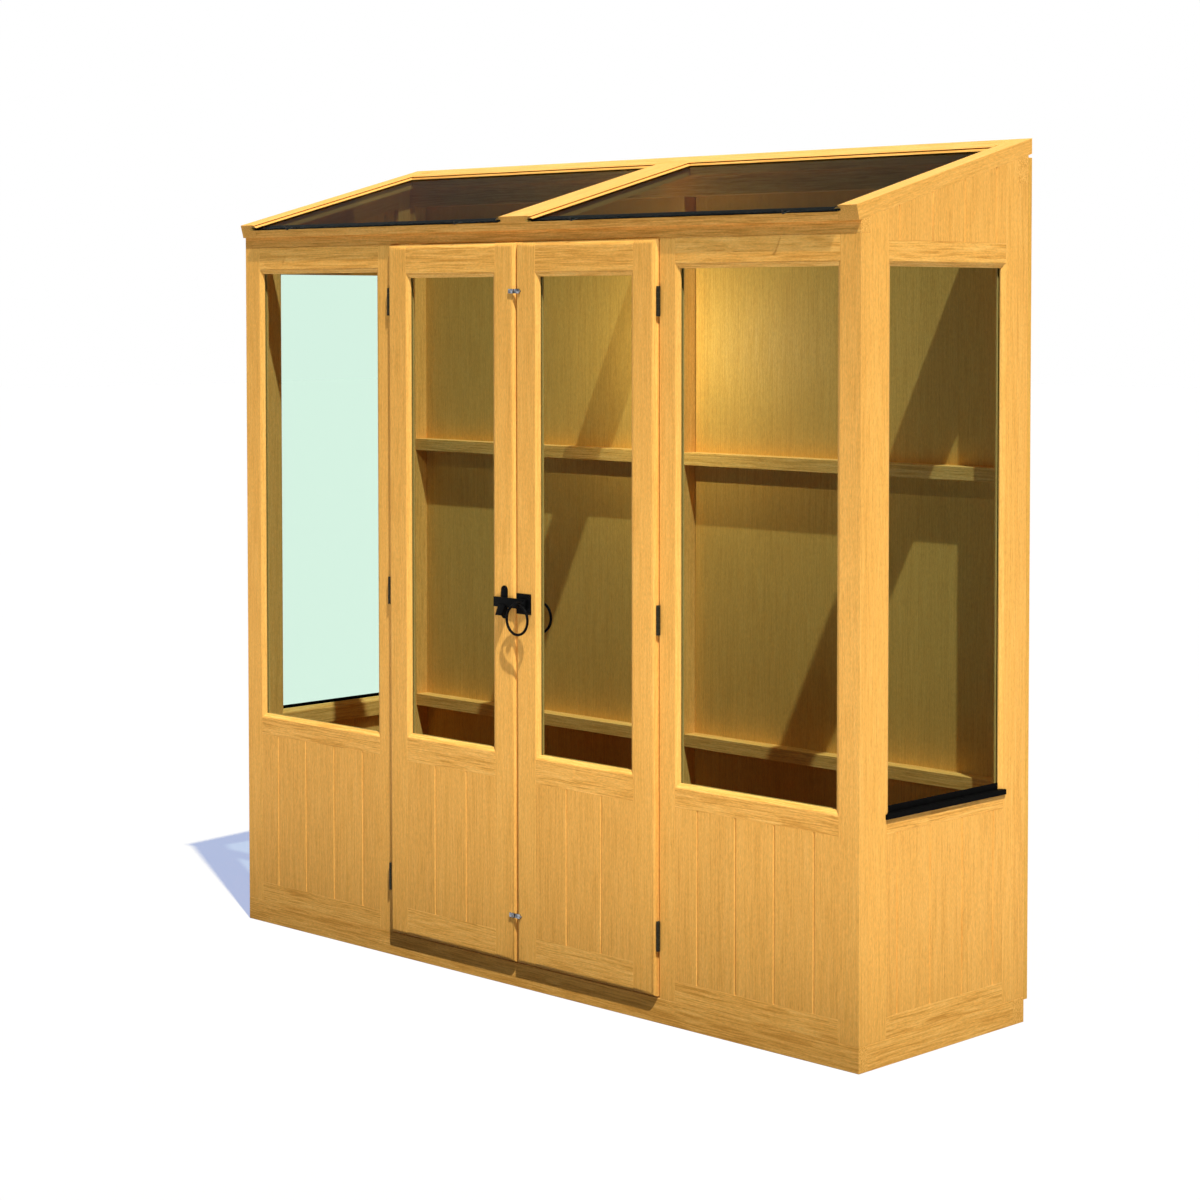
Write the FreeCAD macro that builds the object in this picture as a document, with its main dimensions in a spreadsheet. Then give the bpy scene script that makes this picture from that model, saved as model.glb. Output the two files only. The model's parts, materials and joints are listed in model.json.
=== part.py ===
import FreeCAD
import Part
import Sketcher
import math
import os
import re

# Wooden lean-to greenhouse, millimetres, +Z up, front towards -Y.
# The origin is under the middle of the whole object, on the ground.
# In the outlines below, y is counted from the face of the fixed front panels.

SIZES = (
    # Overall form
    ("overall_width", 1970.0, "outside of one side panel to the outside of the other"),
    ("frame_depth", 552.0, "front face to the back of the timber frame"),
    ("front_height", 1700.0, "ground to the top of the front wall, at its face"),
    ("roof_pitch", 15.0, "roof slope, degrees"),
    ("panel_thick", 28.0, "thickness of the front and side panels"),
    ("back_frame_thick", 38.0, "depth of the posts and rails of the back"),
    # Front wall
    ("base_height", 54.0, "height of the base rails"),
    ("head_height", 26.0, "height of the head rail at the front face"),
    ("corner_stile", 55.0, "width of the front corner stiles"),
    ("jamb_width", 45.0, "width of the door jambs"),
    ("window_width", 450.0, "width of the opening of a fixed front window"),
    ("bottom_rail", 46.0, "height of the bottom rails of the fixed panels"),
    ("board_height", 370.0, "height of the boards under the windows"),
    ("sill_rail", 42.0, "height of the rails under the windows"),
    ("top_rail", 55.0, "height of the rails over the front windows"),
    # Sides
    ("side_front_stile", 58.0, "width of the front stiles of the sides"),
    ("side_rear_stile", 39.5, "width of the rear stiles of the sides"),
    ("side_sill_rail", 38.0, "height of the rails under the side windows"),
    ("side_head_rail", 42.0, "height of the rails over the side windows"),
    ("raked_rail", 44.0, "height of the raked rails inside the gables"),
    ("bar_upstand", 17.0, "height of the black sill bar in the window"),
    ("bar_drop", 8.0, "drop of the drip lip below the window opening"),
    ("bar_gauge", 3.0, "thickness of the black sill bar"),
    ("bar_overhang", 5.0, "reach of the drip lip beyond the face and the opening"),
    # Back
    ("cladding_lift", 48.0, "ground to the lower edge of the back boards"),
    ("cladding_gap", 5.0, "gap between the back boards and the roof"),
    ("post_width", 46.0, "width of the back posts"),
    ("back_rail", 30.0, "height of the low and mid rails of the back"),
    ("low_rail_top", 516.0, "ground to the top of the low rail of the back"),
    ("mid_rail_top", 1185.0, "ground to the top of the mid rail of the back"),
    ("back_top_rail", 50.0, "height of the top rail of the back at its front"),
    # Tongue and groove boards
    ("board_pitch", 107.0, "face width of a board"),
    ("board_thick", 12.0, "thickness of a board"),
    ("board_vee", 2.5, "depth of the vee along a board's edges"),
    ("tongue_length", 5.0, "reach of a board's tongue"),
    ("tongue_thick", 4.0, "thickness of a board's tongue"),
    ("board_clearance", 0.2, "clearance in the joint between two boards"),
    # Glazing
    ("glass_thick", 4.0, "thickness of every pane"),
    ("glass_clearance", 2.0, "gap between a pane's edge and its opening"),
    ("bead_width", 10.0, "width of the glazing beads"),
    ("bead_depth", 10.0, "depth of the glazing beads"),
    ("bead_fall", 6.0, "fall of a bead's sloping face"),
    # Doors
    ("door_proud", 12.0, "how far the doors stand out of the front wall"),
    ("door_thick", 28.0, "thickness of a door"),
    ("door_gap", 3.0, "gap around a door and between the doors"),
    ("door_stile", 64.0, "width of the door stiles"),
    ("door_top_rail", 66.0, "height of the door's top rail"),
    ("door_mid_rail", 55.0, "height of the door's mid rail"),
    ("door_bottom_rail", 67.0, "height of the door's bottom rail"),
    ("door_round", 11.0, "radius of the door's outer front edges"),
    # Hinges
    ("hinge_length", 64.0, "length of a hinge"),
    ("hinge_inset", 131.0, "end of the door to the middle of the outer hinges"),
    ("leaf_thick", 1.3, "thickness of a hinge leaf"),
    ("leaf_width", 15.0, "width of a hinge leaf"),
    ("knuckle_radius", 4.25, "outside radius of the hinge knuckle"),
    ("pin_radius", 2.4, "radius of the hinge pin"),
    ("running_clearance", 0.05, "radial clearance of everything that turns or slides"),
    ("knuckle_gap", 0.3, "gap between knuckles and beside moving iron"),
    ("axis_reach", 5.0, "hinge axis in front of the front wall's face"),
    ("axis_offset", 1.0, "hinge axis beyond the jamb's edge"),
    # Ring latch
    ("latch_height", 868.0, "ground to the latch spindle"),
    ("latch_offset", 30.0, "spindle to the middle of the doors"),
    ("latch_plate", 46.0, "side of the square latch plates"),
    ("plate_thick", 3.0, "thickness of the latch plates and the keeper"),
    ("spindle_radius", 5.0, "radius of the spindle"),
    ("hub_radius", 7.0, "radius of the eye that holds a ring"),
    ("hub_nose", 7.0, "length of the eye beyond the ring"),
    ("ring_standoff", 22.0, "door face to the plane of a ring"),
    ("ring_radius", 33.5, "radius of a ring, at the middle of its wire"),
    ("ring_wire", 3.0, "radius of a ring's wire"),
    ("eye_radius", 4.05, "radius of the hole that a ring hangs in"),
    ("bar_height", 22.0, "height of the latch bar"),
    ("bar_thick", 5.0, "thickness of the latch bar"),
    ("bar_reach", 92.0, "spindle to the end of the latch bar"),
    ("keeper_offset", 33.0, "middle of the keeper to the middle of the doors"),
    ("keeper_width", 20.0, "width of the keeper"),
    ("keeper_height", 74.0, "height of the keeper from end to end"),
    ("keeper_lip", 6.0, "height of the keeper's lip in front of the bar"),
    ("keeper_ramp", 18.0, "reach of the keeper's ramp in front of its plate"),
    ("keeper_foot", 17.0, "drop of the keeper's ramp below the bar's seat"),
    # Small bolts
    ("bolt_inset", 108.0, "end of the door to the middle of a small bolt"),
    ("case_length", 15.5, "length of a bolt's case and of its keep"),
    ("case_height", 10.0, "height of a bolt's case and of its keep"),
    ("case_depth", 3.6, "depth of a bolt's case and of its keep"),
    ("bolt_radius", 1.2, "radius of a small bolt"),
    ("bolt_throw", 12.0, "reach of a small bolt past the door's edge"),
    ("knob_radius", 1.7, "radius of a small bolt's knob"),
    ("knob_length", 4.0, "length of a small bolt's knob"),
    # Screws
    ("screw_radius", 1.6, "radius of a screw's shank"),
    ("screw_head", 3.0, "radius of a screw's head"),
    ("screw_length", 12.0, "length of a screw's shank behind the plate it holds"),
    # Roof
    ("roof_thick", 32.0, "thickness of the roof frame"),
    ("eave_reach", 7.0, "lower front edge of the roof in front of the wall"),
    ("roof_side_rail", 53.0, "width of the roof's side rails"),
    ("roof_centre_rail", 107.0, "width of the roof's centre rail"),
    ("roof_back_rail", 62.0, "width of the roof's back rail along its underside"),
    ("roof_front_rail", 44.0, "width of the roof's front rail"),
    ("front_rail_height", 18.5, "height of the roof's front rail"),
    ("groove_depth", 9.0, "depth of the pane grooves in the roof rails"),
    ("groove_start", 20.0, "underside of the roof to the pane grooves"),
    ("groove_height", 4.5, "height of the pane grooves"),
    ("rail_lip", 3.6, "height of the lip of the roof rails over the panes"),
    ("lip_reach", 7.0, "reach of that lip over the panes"),
    ("quirk_height", 2.4, "height of the quirk over that lip"),
    ("quirk_depth", 4.0, "depth of the quirk"),
    ("rail_slope", 8.5, "width of the sloping inner edge of the roof rails"),
    ("pane_overhang", 8.0, "reach of the roof panes in front of the roof frame"),
    ("strip_depth", 40.0, "depth of the black seal under the panes at the eave"),
    ("clip_width", 4.0, "width of a pane clip"),
    ("clip_gauge", 1.4, "thickness of a pane clip"),
    ("clip_tail", 14.0, "reach of a pane clip behind the front of the roof"),
    ("clip_hook", 8.0, "height of a pane clip's hook"),
    ("clip_inset", 135.0, "pane clip to the side of its pane"),
)
NAMES = {name for name, _, _ in SIZES}
SIDES = (("left", -1), ("right", 1))

doc = FreeCAD.newDocument("lean_to_greenhouse")
sheet = doc.addObject("Spreadsheet::Sheet", "Sizes")
for row, (name, number, meaning) in enumerate(SIZES, start=1):
    sheet.set(f"A{row}", meaning)
    sheet.set(f"B{row}", str(number))
    sheet.setAlias(f"B{row}", name)
doc.recompute()
nodes = []


# Lines and planes that several pieces share, as expressions of the sizes

HALF = "overall_width / 2"
INNER = f"({HALF} - panel_thick)"
BACK = "(frame_depth - back_frame_thick)"
WALL = "(frame_depth + board_thick)"
REACH = "(door_proud + ring_standoff + hub_nose)"
FRONT = f"(({REACH} - {WALL}) / 2)"

BOARD_FOOT = "(base_height + bottom_rail)"
BOARD_TOP = f"({BOARD_FOOT} + board_height)"
SILL = f"({BOARD_TOP} + sill_rail)"
HEAD = "(front_height - head_height)"
WINDOW_TOP = f"({HEAD} - top_rail)"
WINDOW_OUT = f"({HALF} - corner_stile)"
WINDOW_IN = f"({WINDOW_OUT} - window_width)"
DOORWAY = f"({WINDOW_IN} - jamb_width)"

SIDE_IN = "(panel_thick + side_front_stile)"
SIDE_OUT = f"({BACK} - side_rear_stile)"
SIDE_SILL = f"({BOARD_TOP} + side_sill_rail)"
GABLE = f"({WINDOW_TOP} + side_head_rail)"

DOOR_FACE = "(-door_proud)"
DOOR_BACK = "(door_thick - door_proud)"
DOOR_FOOT = "(base_height + door_gap)"
DOOR_TOP = f"({HEAD} - door_gap)"
DOOR_EDGE = f"({DOORWAY} - door_gap)"
DOOR_MEET = "(door_gap / 2)"
DOOR_SILL = f"({BOARD_TOP} + door_mid_rail)"
DOOR_LIGHT = f"({DOOR_TOP} - door_top_rail)"
PANEL_FOOT = f"({DOOR_FOOT} + door_bottom_rail)"


def linked(text):
    """Put the sheet's name before every size that an expression names."""
    def prefixed(match):
        word = match.group()
        return "Sizes." + word if word in NAMES else word
    return re.sub(r"[a-z]+(?:_[a-z]+)*", prefixed, text)


def number_of(text):
    """The present value of an expression of the sizes."""
    return float(sheet.evalExpression(linked(text)))


def roof_line(y):
    """Height of the roof's underside at a distance behind the front face."""
    return f"(front_height + ({y}) * tan(roof_pitch))"


def mirrored(side, low, high):
    """A span on the right-hand side, or its mirror image on the left."""
    if side > 0:
        return low, high
    return f"-({high})", f"-({low})"


def node(label, shape_object):
    """Name a finished piece, which then becomes a node of the part."""
    shape_object.Label = label
    nodes.append(shape_object)
    return shape_object


def place(thing, x, y, z):
    """Bind a piece's place, with y counted from the front face."""
    for axis, text in zip("xyz", (x, f"({y}) + {FRONT}", z)):
        thing.setExpression(f"Placement.Base.{axis}", linked(text))
    return thing


# Solids

def block(x, y, z):
    """A straight timber or plate between two planes each way."""
    solid = doc.addObject("Part::Box", "block")
    for edge, (low, high) in zip(("Length", "Width", "Height"), (x, y, z)):
        solid.setExpression(edge, linked(f"({high}) - ({low})"))
    return place(solid, x[0], y[0], z[0])


def rod(axis, radius, start, end, centre):
    """A round bar along x, y or z, between two planes, about a centre line."""
    solid = doc.addObject("Part::Cylinder", "rod")
    solid.setExpression("Radius", linked(radius))
    solid.setExpression("Height", linked(f"({end}) - ({start})"))
    turns = {
        "x": FreeCAD.Rotation(FreeCAD.Vector(0, 1, 0), 90),
        "y": FreeCAD.Rotation(FreeCAD.Vector(1, 0, 0), -90),
        "z": FreeCAD.Rotation(),
    }
    solid.Placement = FreeCAD.Placement(FreeCAD.Vector(), turns[axis])
    spot = list(centre)
    spot["xyz".index(axis)] = start
    return place(solid, *spot)


def combined(kind, first, *others):
    """One boolean result: others are added to, or taken from, the first solid."""
    result = first
    for other in others:
        step = doc.addObject(kind, kind.split("::")[1].lower())
        step.Base = result
        step.Tool = other
        step.Refine = True
        result = step
    return result


def joined(first, *others):
    """Solids that are one piece."""
    return combined("Part::Fuse", first, *others)


def cut(first, *others):
    """A solid with the others taken out of it."""
    return combined("Part::Cut", first, *others)


def group(*solids):
    """Separate pieces that share a node."""
    bunch = doc.addObject("Part::Compound", "group")
    bunch.Links = list(solids)
    return bunch


def outline_sketch(body, plane, outline):
    """A closed outline on one of a body's own planes, bound point by point."""
    sketch = body.newObject("Sketcher::SketchObject", "outline")
    support = next(item for item in body.Origin.OriginFeatures if item.Role == plane)
    sketch.AttachmentSupport = (support, [""])
    sketch.MapMode = "FlatFace"
    points = [FreeCAD.Vector(number_of(across), number_of(up), 0) for across, up in outline]
    count = len(points)
    for index in range(count):
        sketch.addGeometry(Part.LineSegment(points[index], points[(index + 1) % count]))
    for index in range(count):
        sketch.addConstraint(Sketcher.Constraint("Coincident", index, 2, (index + 1) % count, 1))
    for index, (point, texts) in enumerate(zip(points, outline)):
        for kind, start, text in zip(("DistanceX", "DistanceY"), point[:2], texts):
            rule = sketch.addConstraint(Sketcher.Constraint(kind, -1, 1, index, 1, start))
            sketch.setExpression(f"Constraints[{rule}]", linked(text))
    return sketch


def padded(plane, outline, length, reverse=False):
    """A piece of constant section: an outline on a plane, drawn out square to it."""
    body = doc.addObject("PartDesign::Body", "body")
    sketch = outline_sketch(body, plane, outline)
    pad = body.newObject("PartDesign::Pad", "pad")
    pad.Profile = sketch
    pad.Reversed = reverse
    pad.setExpression("Length", linked(length))
    return body


def rounded(solid, radius, on_outer_side):
    """Round those edges of a box's front face that lie on the chosen outer sides."""
    doc.recompute()
    reach = solid.Shape.BoundBox
    outer = {"x-": (0, reach.XMin), "x+": (0, reach.XMax), "z-": (2, reach.ZMin), "z+": (2, reach.ZMax)}
    chosen = []
    for index, edge in enumerate(solid.Shape.Edges, start=1):
        middle = edge.CenterOfMass
        on_front = math.isclose(middle.y, reach.YMin, abs_tol=1e-6)
        if on_front and any(math.isclose(middle[axis], at, abs_tol=1e-6)
                            for axis, at in (outer[side] for side in on_outer_side)):
            chosen.append((index, number_of(radius), number_of(radius)))
    fillet = doc.addObject("Part::Fillet", "rounded")
    fillet.Base = solid
    fillet.Edges = chosen
    return fillet


# Tongue and groove boards, laid out from the middle of an opening and trimmed to it

def boards(width, height, opening, turn, x, y, z, front_vee="board_vee"):
    """Boards side by side across an opening, faces along local x, trimmed by a solid."""
    fit = "board_clearance"
    edge = f"(board_pitch - {fit})"
    tongue = "((board_thick - tongue_thick) / 2)"
    slot = f"({tongue} - {fit})"
    left_corner = [("0", front_vee), (front_vee, "0")]
    right_corner = [(f"{edge} - {front_vee}", "0"), (edge, front_vee)]
    if front_vee == "0":
        left_corner, right_corner = left_corner[:1], right_corner[:1]
    outline = (
        *left_corner, *right_corner,
        (edge, tongue), (f"{edge} + tongue_length", tongue),
        (f"{edge} + tongue_length", f"board_thick - {tongue}"), (edge, f"board_thick - {tongue}"),
        (edge, "board_thick - board_vee"), (f"{edge} - board_vee", "board_thick"),
        ("board_vee", "board_thick"), ("0", "board_thick - board_vee"),
        ("0", f"board_thick - {slot}"), (f"tongue_length + {fit}", f"board_thick - {slot}"),
        (f"tongue_length + {fit}", slot), ("0", slot),
    )
    body = padded("XY_Plane", outline, height)
    pitch = number_of("board_pitch")
    odd_count = 2 * math.ceil((number_of(width) / pitch - 1) / 2) + 1
    first = body.Tip
    row = body.newObject("PartDesign::LinearPattern", "row")
    row.Originals = [first]
    row.Direction = (first.Profile[0], ["H_Axis"])
    row.setExpression("Length", linked(f"board_pitch * {odd_count - 1}"))
    row.Occurrences = odd_count
    body.Tip = row
    body.Placement = FreeCAD.Placement(FreeCAD.Vector(), FreeCAD.Rotation(FreeCAD.Vector(0, 0, 1), turn))
    back = f"(board_pitch * {odd_count} / 2)"
    across = round(math.cos(math.radians(turn)))
    inward = round(math.sin(math.radians(turn)))
    place(body, f"({x}) - ({across}) * {back}", f"({y}) - ({inward}) * {back}", z)
    trimmed = doc.addObject("Part::MultiCommon", "trimmed")
    trimmed.Shapes = [body, opening]
    return trimmed


# Glazing: a mitred ring of beads on each face of a pane

AXES = {"x": FreeCAD.Vector(1, 0, 0), "y": FreeCAD.Vector(0, 1, 0), "z": FreeCAD.Vector(0, 0, 1)}


def bead(along, inward, depth_way, length, corner, mitred):
    """One bead strip: mitred or square at each end, its face falling towards the pane."""
    strip = doc.addObject("Part::Wedge", "bead")
    start_cut, end_cut = ("bead_width" if end else "0" for end in mitred)
    limits = (
        ("Xmin", "0"), ("Xmax", length), ("X2min", start_cut), ("X2max", f"({length}) - {end_cut}"),
        ("Ymin", "0"), ("Ymax", "bead_width"),
        ("Zmin", "0"), ("Zmax", "bead_depth"), ("Z2min", "bead_fall"), ("Z2max", "bead_depth"),
    )
    for name, text in limits:
        strip.setExpression(name, linked(text))
    strip.Placement = FreeCAD.Placement(FreeCAD.Vector(), FreeCAD.Rotation(along, inward, depth_way, "XYZ"))
    return place(strip, *corner)


def bead_ring(plane, low, high, face_axis, face, depth_sign, skip=()):
    """Beads round an opening in a plane of two axes, starting at a face, square where a side has none."""
    ring = []
    depth_way = AXES[face_axis] * depth_sign
    for axis, other in (plane, plane[::-1]):
        for sign in (1, -1):
            if (axis, sign) in skip:
                continue
            inward = AXES[axis] * sign
            along = inward.cross(depth_way)
            forward = along.dot(AXES[other]) > 0
            spot = {
                axis: low[axis] if sign > 0 else high[axis],
                other: low[other] if forward else high[other],
                face_axis: face,
            }
            length = f"({high[other]}) - ({low[other]})"
            ends = [(other, 1) not in skip, (other, -1) not in skip]
            mitred = ends if forward else ends[::-1]
            ring.append(bead(along, inward, depth_way, length, [spot[key] for key in "xyz"], mitred))
    return ring


def shrunk(span):
    """A pane's span: its opening less the glazing clearance at both ends."""
    low, high = span
    return f"({low}) + glass_clearance", f"({high}) - glass_clearance"


def front_glazing(x, z, face):
    """Pane and beads of an opening in a wall that faces the front."""
    pane = block(shrunk(x), (f"{face} + bead_depth", f"{face} + bead_depth + glass_thick"), shrunk(z))
    low, high = {"x": x[0], "z": z[0]}, {"x": x[1], "z": z[1]}
    inner_face = f"{face} + 2 * bead_depth + glass_thick"
    beads = bead_ring("xz", low, high, "y", face, 1) + bead_ring("xz", low, high, "y", inner_face, -1)
    return pane, beads


# Base and front wall

def build_base():
    """Four sleepers: front and back run the full width, the sides butt between them."""
    full = (f"-{HALF}", HALF)
    height = ("0", "base_height")
    rails = [block(full, ("0", "panel_thick"), height), block(full, (BACK, "frame_depth"), height)]
    for _, side in SIDES:
        rails.append(block(mirrored(side, INNER, HALF), ("panel_thick", BACK), height))
    node("base_rails", group(*rails))


def build_front():
    """Head rail and the two fixed glazed panels beside the doorway."""
    section = (
        ("0", HEAD), ("panel_thick", HEAD), ("panel_thick", roof_line("panel_thick")), ("0", roof_line("0")))
    head = padded("YZ_Plane", section, "overall_width")
    node("front_head_rail", place(head, f"-{HALF}", "0", "0"))
    wall = ("0", "panel_thick")
    upright = ("base_height", HEAD)
    rails, panes, beads = [], [], []
    for name, side in SIDES:
        node(f"{name}_corner_stile", block(mirrored(side, WINDOW_OUT, HALF), wall, upright))
        node(f"{name}_door_jamb", block(mirrored(side, DOORWAY, WINDOW_IN), wall, upright))
        span = mirrored(side, WINDOW_IN, WINDOW_OUT)
        for low, high in (("base_height", BOARD_FOOT), (BOARD_TOP, SILL), (WINDOW_TOP, HEAD)):
            rails.append(block(span, wall, (low, high)))
        opening = block(span, ("0", "board_thick"), (BOARD_FOOT, BOARD_TOP))
        middle = f"({span[0]} + {span[1]}) / 2"
        panel = boards("window_width", "board_height", opening, 0, middle, "0", BOARD_FOOT)
        node(f"{name}_front_boards", panel)
        pane, ring = front_glazing(span, (SILL, WINDOW_TOP), "0")
        panes.append(pane)
        beads += ring
    node("front_rails", group(*rails))
    node("front_panes", group(*panes))
    node("front_beads", group(*beads))


# Sides

def raked_prism(side, y, floor, x):
    """A piece of the side wall from a level foot up to the roof's slope."""
    outline = ((y[0], floor), (y[1], floor), (y[1], roof_line(y[1])), (y[0], roof_line(y[0])))
    low, high = mirrored(side, *x)
    body = padded("YZ_Plane", outline, f"({high}) - ({low})")
    return place(body, low, "0", "0")


def side_glazing(side):
    """Pane, beads and black sill bar of a side window."""
    span_y, span_z = (SIDE_IN, SIDE_OUT), (SIDE_SILL, WINDOW_TOP)
    depth = (f"{HALF} - bead_depth - glass_thick", f"{HALF} - bead_depth")
    pane = block(mirrored(side, *depth), shrunk(span_y), shrunk(span_z))
    low, high = {"y": SIDE_IN, "z": f"{SIDE_SILL} + bar_gauge"}, {"y": SIDE_OUT, "z": WINDOW_TOP}
    outer_face = f"({side}) * {HALF}"
    inner_face = f"({side}) * ({HALF} - 2 * bead_depth - glass_thick)"
    beads = bead_ring("yz", low, high, "x", outer_face, -side, skip=(("z", 1),))
    beads += bead_ring("yz", dict(low, z=SIDE_SILL), high, "x", inner_face, side)
    bar_back = f"{HALF} - bead_depth"
    upstand_y = (f"{SIDE_IN} + bead_width", f"{SIDE_OUT} - bead_width")
    upstand = block(
        mirrored(side, bar_back, f"{bar_back} + bar_gauge"), upstand_y,
        (SIDE_SILL, f"{SIDE_SILL} + bar_upstand"))
    leg = block(
        mirrored(side, bar_back, f"{HALF} + bar_overhang"), span_y,
        (SIDE_SILL, f"{SIDE_SILL} + bar_gauge"))
    lip = block(
        mirrored(side, HALF, f"{HALF} + bar_overhang"),
        (f"{SIDE_IN} - bar_overhang", f"{SIDE_OUT} + bar_overhang"),
        (f"{SIDE_SILL} - bar_drop", f"{SIDE_SILL} + bar_gauge"))
    return pane, beads, joined(leg, upstand, lip)


def build_sides():
    """Both side panels: stiles, rails, boards, window and sill bar."""
    panes, beads, bars, stiles, rails, raked = [], [], [], [], [], []
    for name, side in SIDES:
        wall = mirrored(side, INNER, HALF)
        stiles.append(raked_prism(side, ("panel_thick", SIDE_IN), "base_height", (INNER, HALF)))
        stiles.append(raked_prism(side, (SIDE_OUT, BACK), "base_height", (INNER, HALF)))
        for low, high in (("base_height", BOARD_FOOT), (BOARD_TOP, SIDE_SILL), (WINDOW_TOP, GABLE)):
            rails.append(block(wall, (SIDE_IN, SIDE_OUT), (low, high)))
        skin = (f"{HALF} - board_thick", HALF)
        behind = (INNER, f"{HALF} - board_thick")
        front_top, rear_top = roof_line(SIDE_IN), roof_line(SIDE_OUT)
        rake = (
            (SIDE_IN, f"{front_top} - raked_rail"), (SIDE_OUT, f"{rear_top} - raked_rail"),
            (SIDE_OUT, rear_top), (SIDE_IN, front_top))
        low, high = mirrored(side, *behind)
        raked.append(place(padded("YZ_Plane", rake, f"({high}) - ({low})"), low, "0", "0"))
        lower = block(mirrored(side, *skin), (SIDE_IN, SIDE_OUT), (BOARD_FOOT, BOARD_TOP))
        gable = raked_prism(side, (SIDE_IN, SIDE_OUT), GABLE, skin)
        width = f"({SIDE_OUT} - {SIDE_IN})"
        middle = f"({SIDE_IN} + {SIDE_OUT}) / 2"
        turn = 90 if side > 0 else -90
        face = f"({side}) * {HALF}"
        gable_rise = f"({rear_top} - {GABLE})"
        below = boards(width, "board_height", lower, turn, face, middle, BOARD_FOOT)
        above = boards(width, gable_rise, gable, turn, face, middle, GABLE)
        node(f"{name}_side_boards", group(below, above))
        pane, ring, bar = side_glazing(side)
        panes.append(pane)
        beads += ring
        bars.append(bar)
    node("side_stiles", group(*stiles))
    node("side_rails", group(*rails))
    node("raked_rails", group(*raked))
    node("side_panes", group(*panes))
    node("side_beads", group(*beads))
    node("side_sill_bars", group(*bars))


# Back

def build_back():
    """Posts, rails and vertical cladding of the back wall."""
    depth = (BACK, "frame_depth")
    post_top = f"({roof_line(BACK)} - back_top_rail)"
    upright = ("base_height", post_top)
    inner_post = f"({HALF} - post_width)"
    posts = [block(("-post_width / 2", "post_width / 2"), depth, upright)]
    rails = []
    for _, side in SIDES:
        posts.append(block(mirrored(side, inner_post, HALF), depth, upright))
        for top in ("low_rail_top", "mid_rail_top"):
            span = mirrored(side, "post_width / 2", inner_post)
            rails.append(block(span, depth, (f"{top} - back_rail", top)))
    section = (
        (BACK, post_top), ("frame_depth", post_top),
        ("frame_depth", roof_line("frame_depth")), (BACK, roof_line(BACK)))
    rails.append(place(padded("YZ_Plane", section, "overall_width"), f"-{HALF}", "0", "0"))
    node("back_posts", group(*posts))
    node("back_rails", group(*rails))
    top = f"({roof_line('frame_depth')} - cladding_gap)"
    opening = block((f"-{HALF}", HALF), ("frame_depth", WALL), ("cladding_lift", top))
    rise = f"({top} - cladding_lift)"
    node("back_boards", boards(
        "overall_width", rise, opening, 0, "0", "frame_depth", "cladding_lift", front_vee="0"))


# Roof, in a frame whose v runs up the slope and w stands square to it

SLOPE_END = f"(({WALL} + eave_reach) / cos(roof_pitch))"
BACK_RAIL = f"({SLOPE_END} - roof_back_rail)"
PANE_LOW = "(groove_start + (groove_height - glass_thick) / 2)"
LIP = "(groove_start + groove_height)"
QUIRK = f"({LIP} + rail_lip)"


def on_slope(solid, x, v, w):
    """Lay a piece on the roof's slope with its corner at v and w."""
    solid.Placement = FreeCAD.Placement(FreeCAD.Vector(), FreeCAD.Rotation(FreeCAD.Vector(1, 0, 0), 1))
    solid.setExpression("Placement.Rotation.Angle", linked("roof_pitch"))
    y = f"({v}) * cos(roof_pitch) - ({w}) * sin(roof_pitch) - eave_reach"
    z = f"front_height - eave_reach * tan(roof_pitch) + ({v}) * sin(roof_pitch) + ({w}) * cos(roof_pitch)"
    return place(solid, x, y, z)


def sloped(x, v, w):
    """A straight piece that lies on the roof's slope."""
    solid = doc.addObject("Part::Box", "sloped")
    for edge, (low, high) in zip(("Length", "Width", "Height"), (x, v, w)):
        solid.setExpression(edge, linked(f"({high}) - ({low})"))
    return on_slope(solid, x[0], v[0], w[0])


def pane_edge(inner, way):
    """Inner edge of a roof rail, from its underside up: pane groove, sloping lip, quirk and sloping edge."""
    floor = f"({inner}) - ({way}) * groove_depth"
    quirk_floor = f"({inner}) - ({way}) * quirk_depth"
    quirk_top = f"{QUIRK} + quirk_height"
    return [
        (inner, "0"), (inner, "groove_start"), (floor, "groove_start"), (floor, LIP),
        (f"({inner}) + ({way}) * lip_reach", LIP), (inner, QUIRK), (quirk_floor, QUIRK),
        (quirk_floor, quirk_top), (inner, quirk_top), (f"({inner}) - ({way}) * rail_slope", "roof_thick")]


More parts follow.
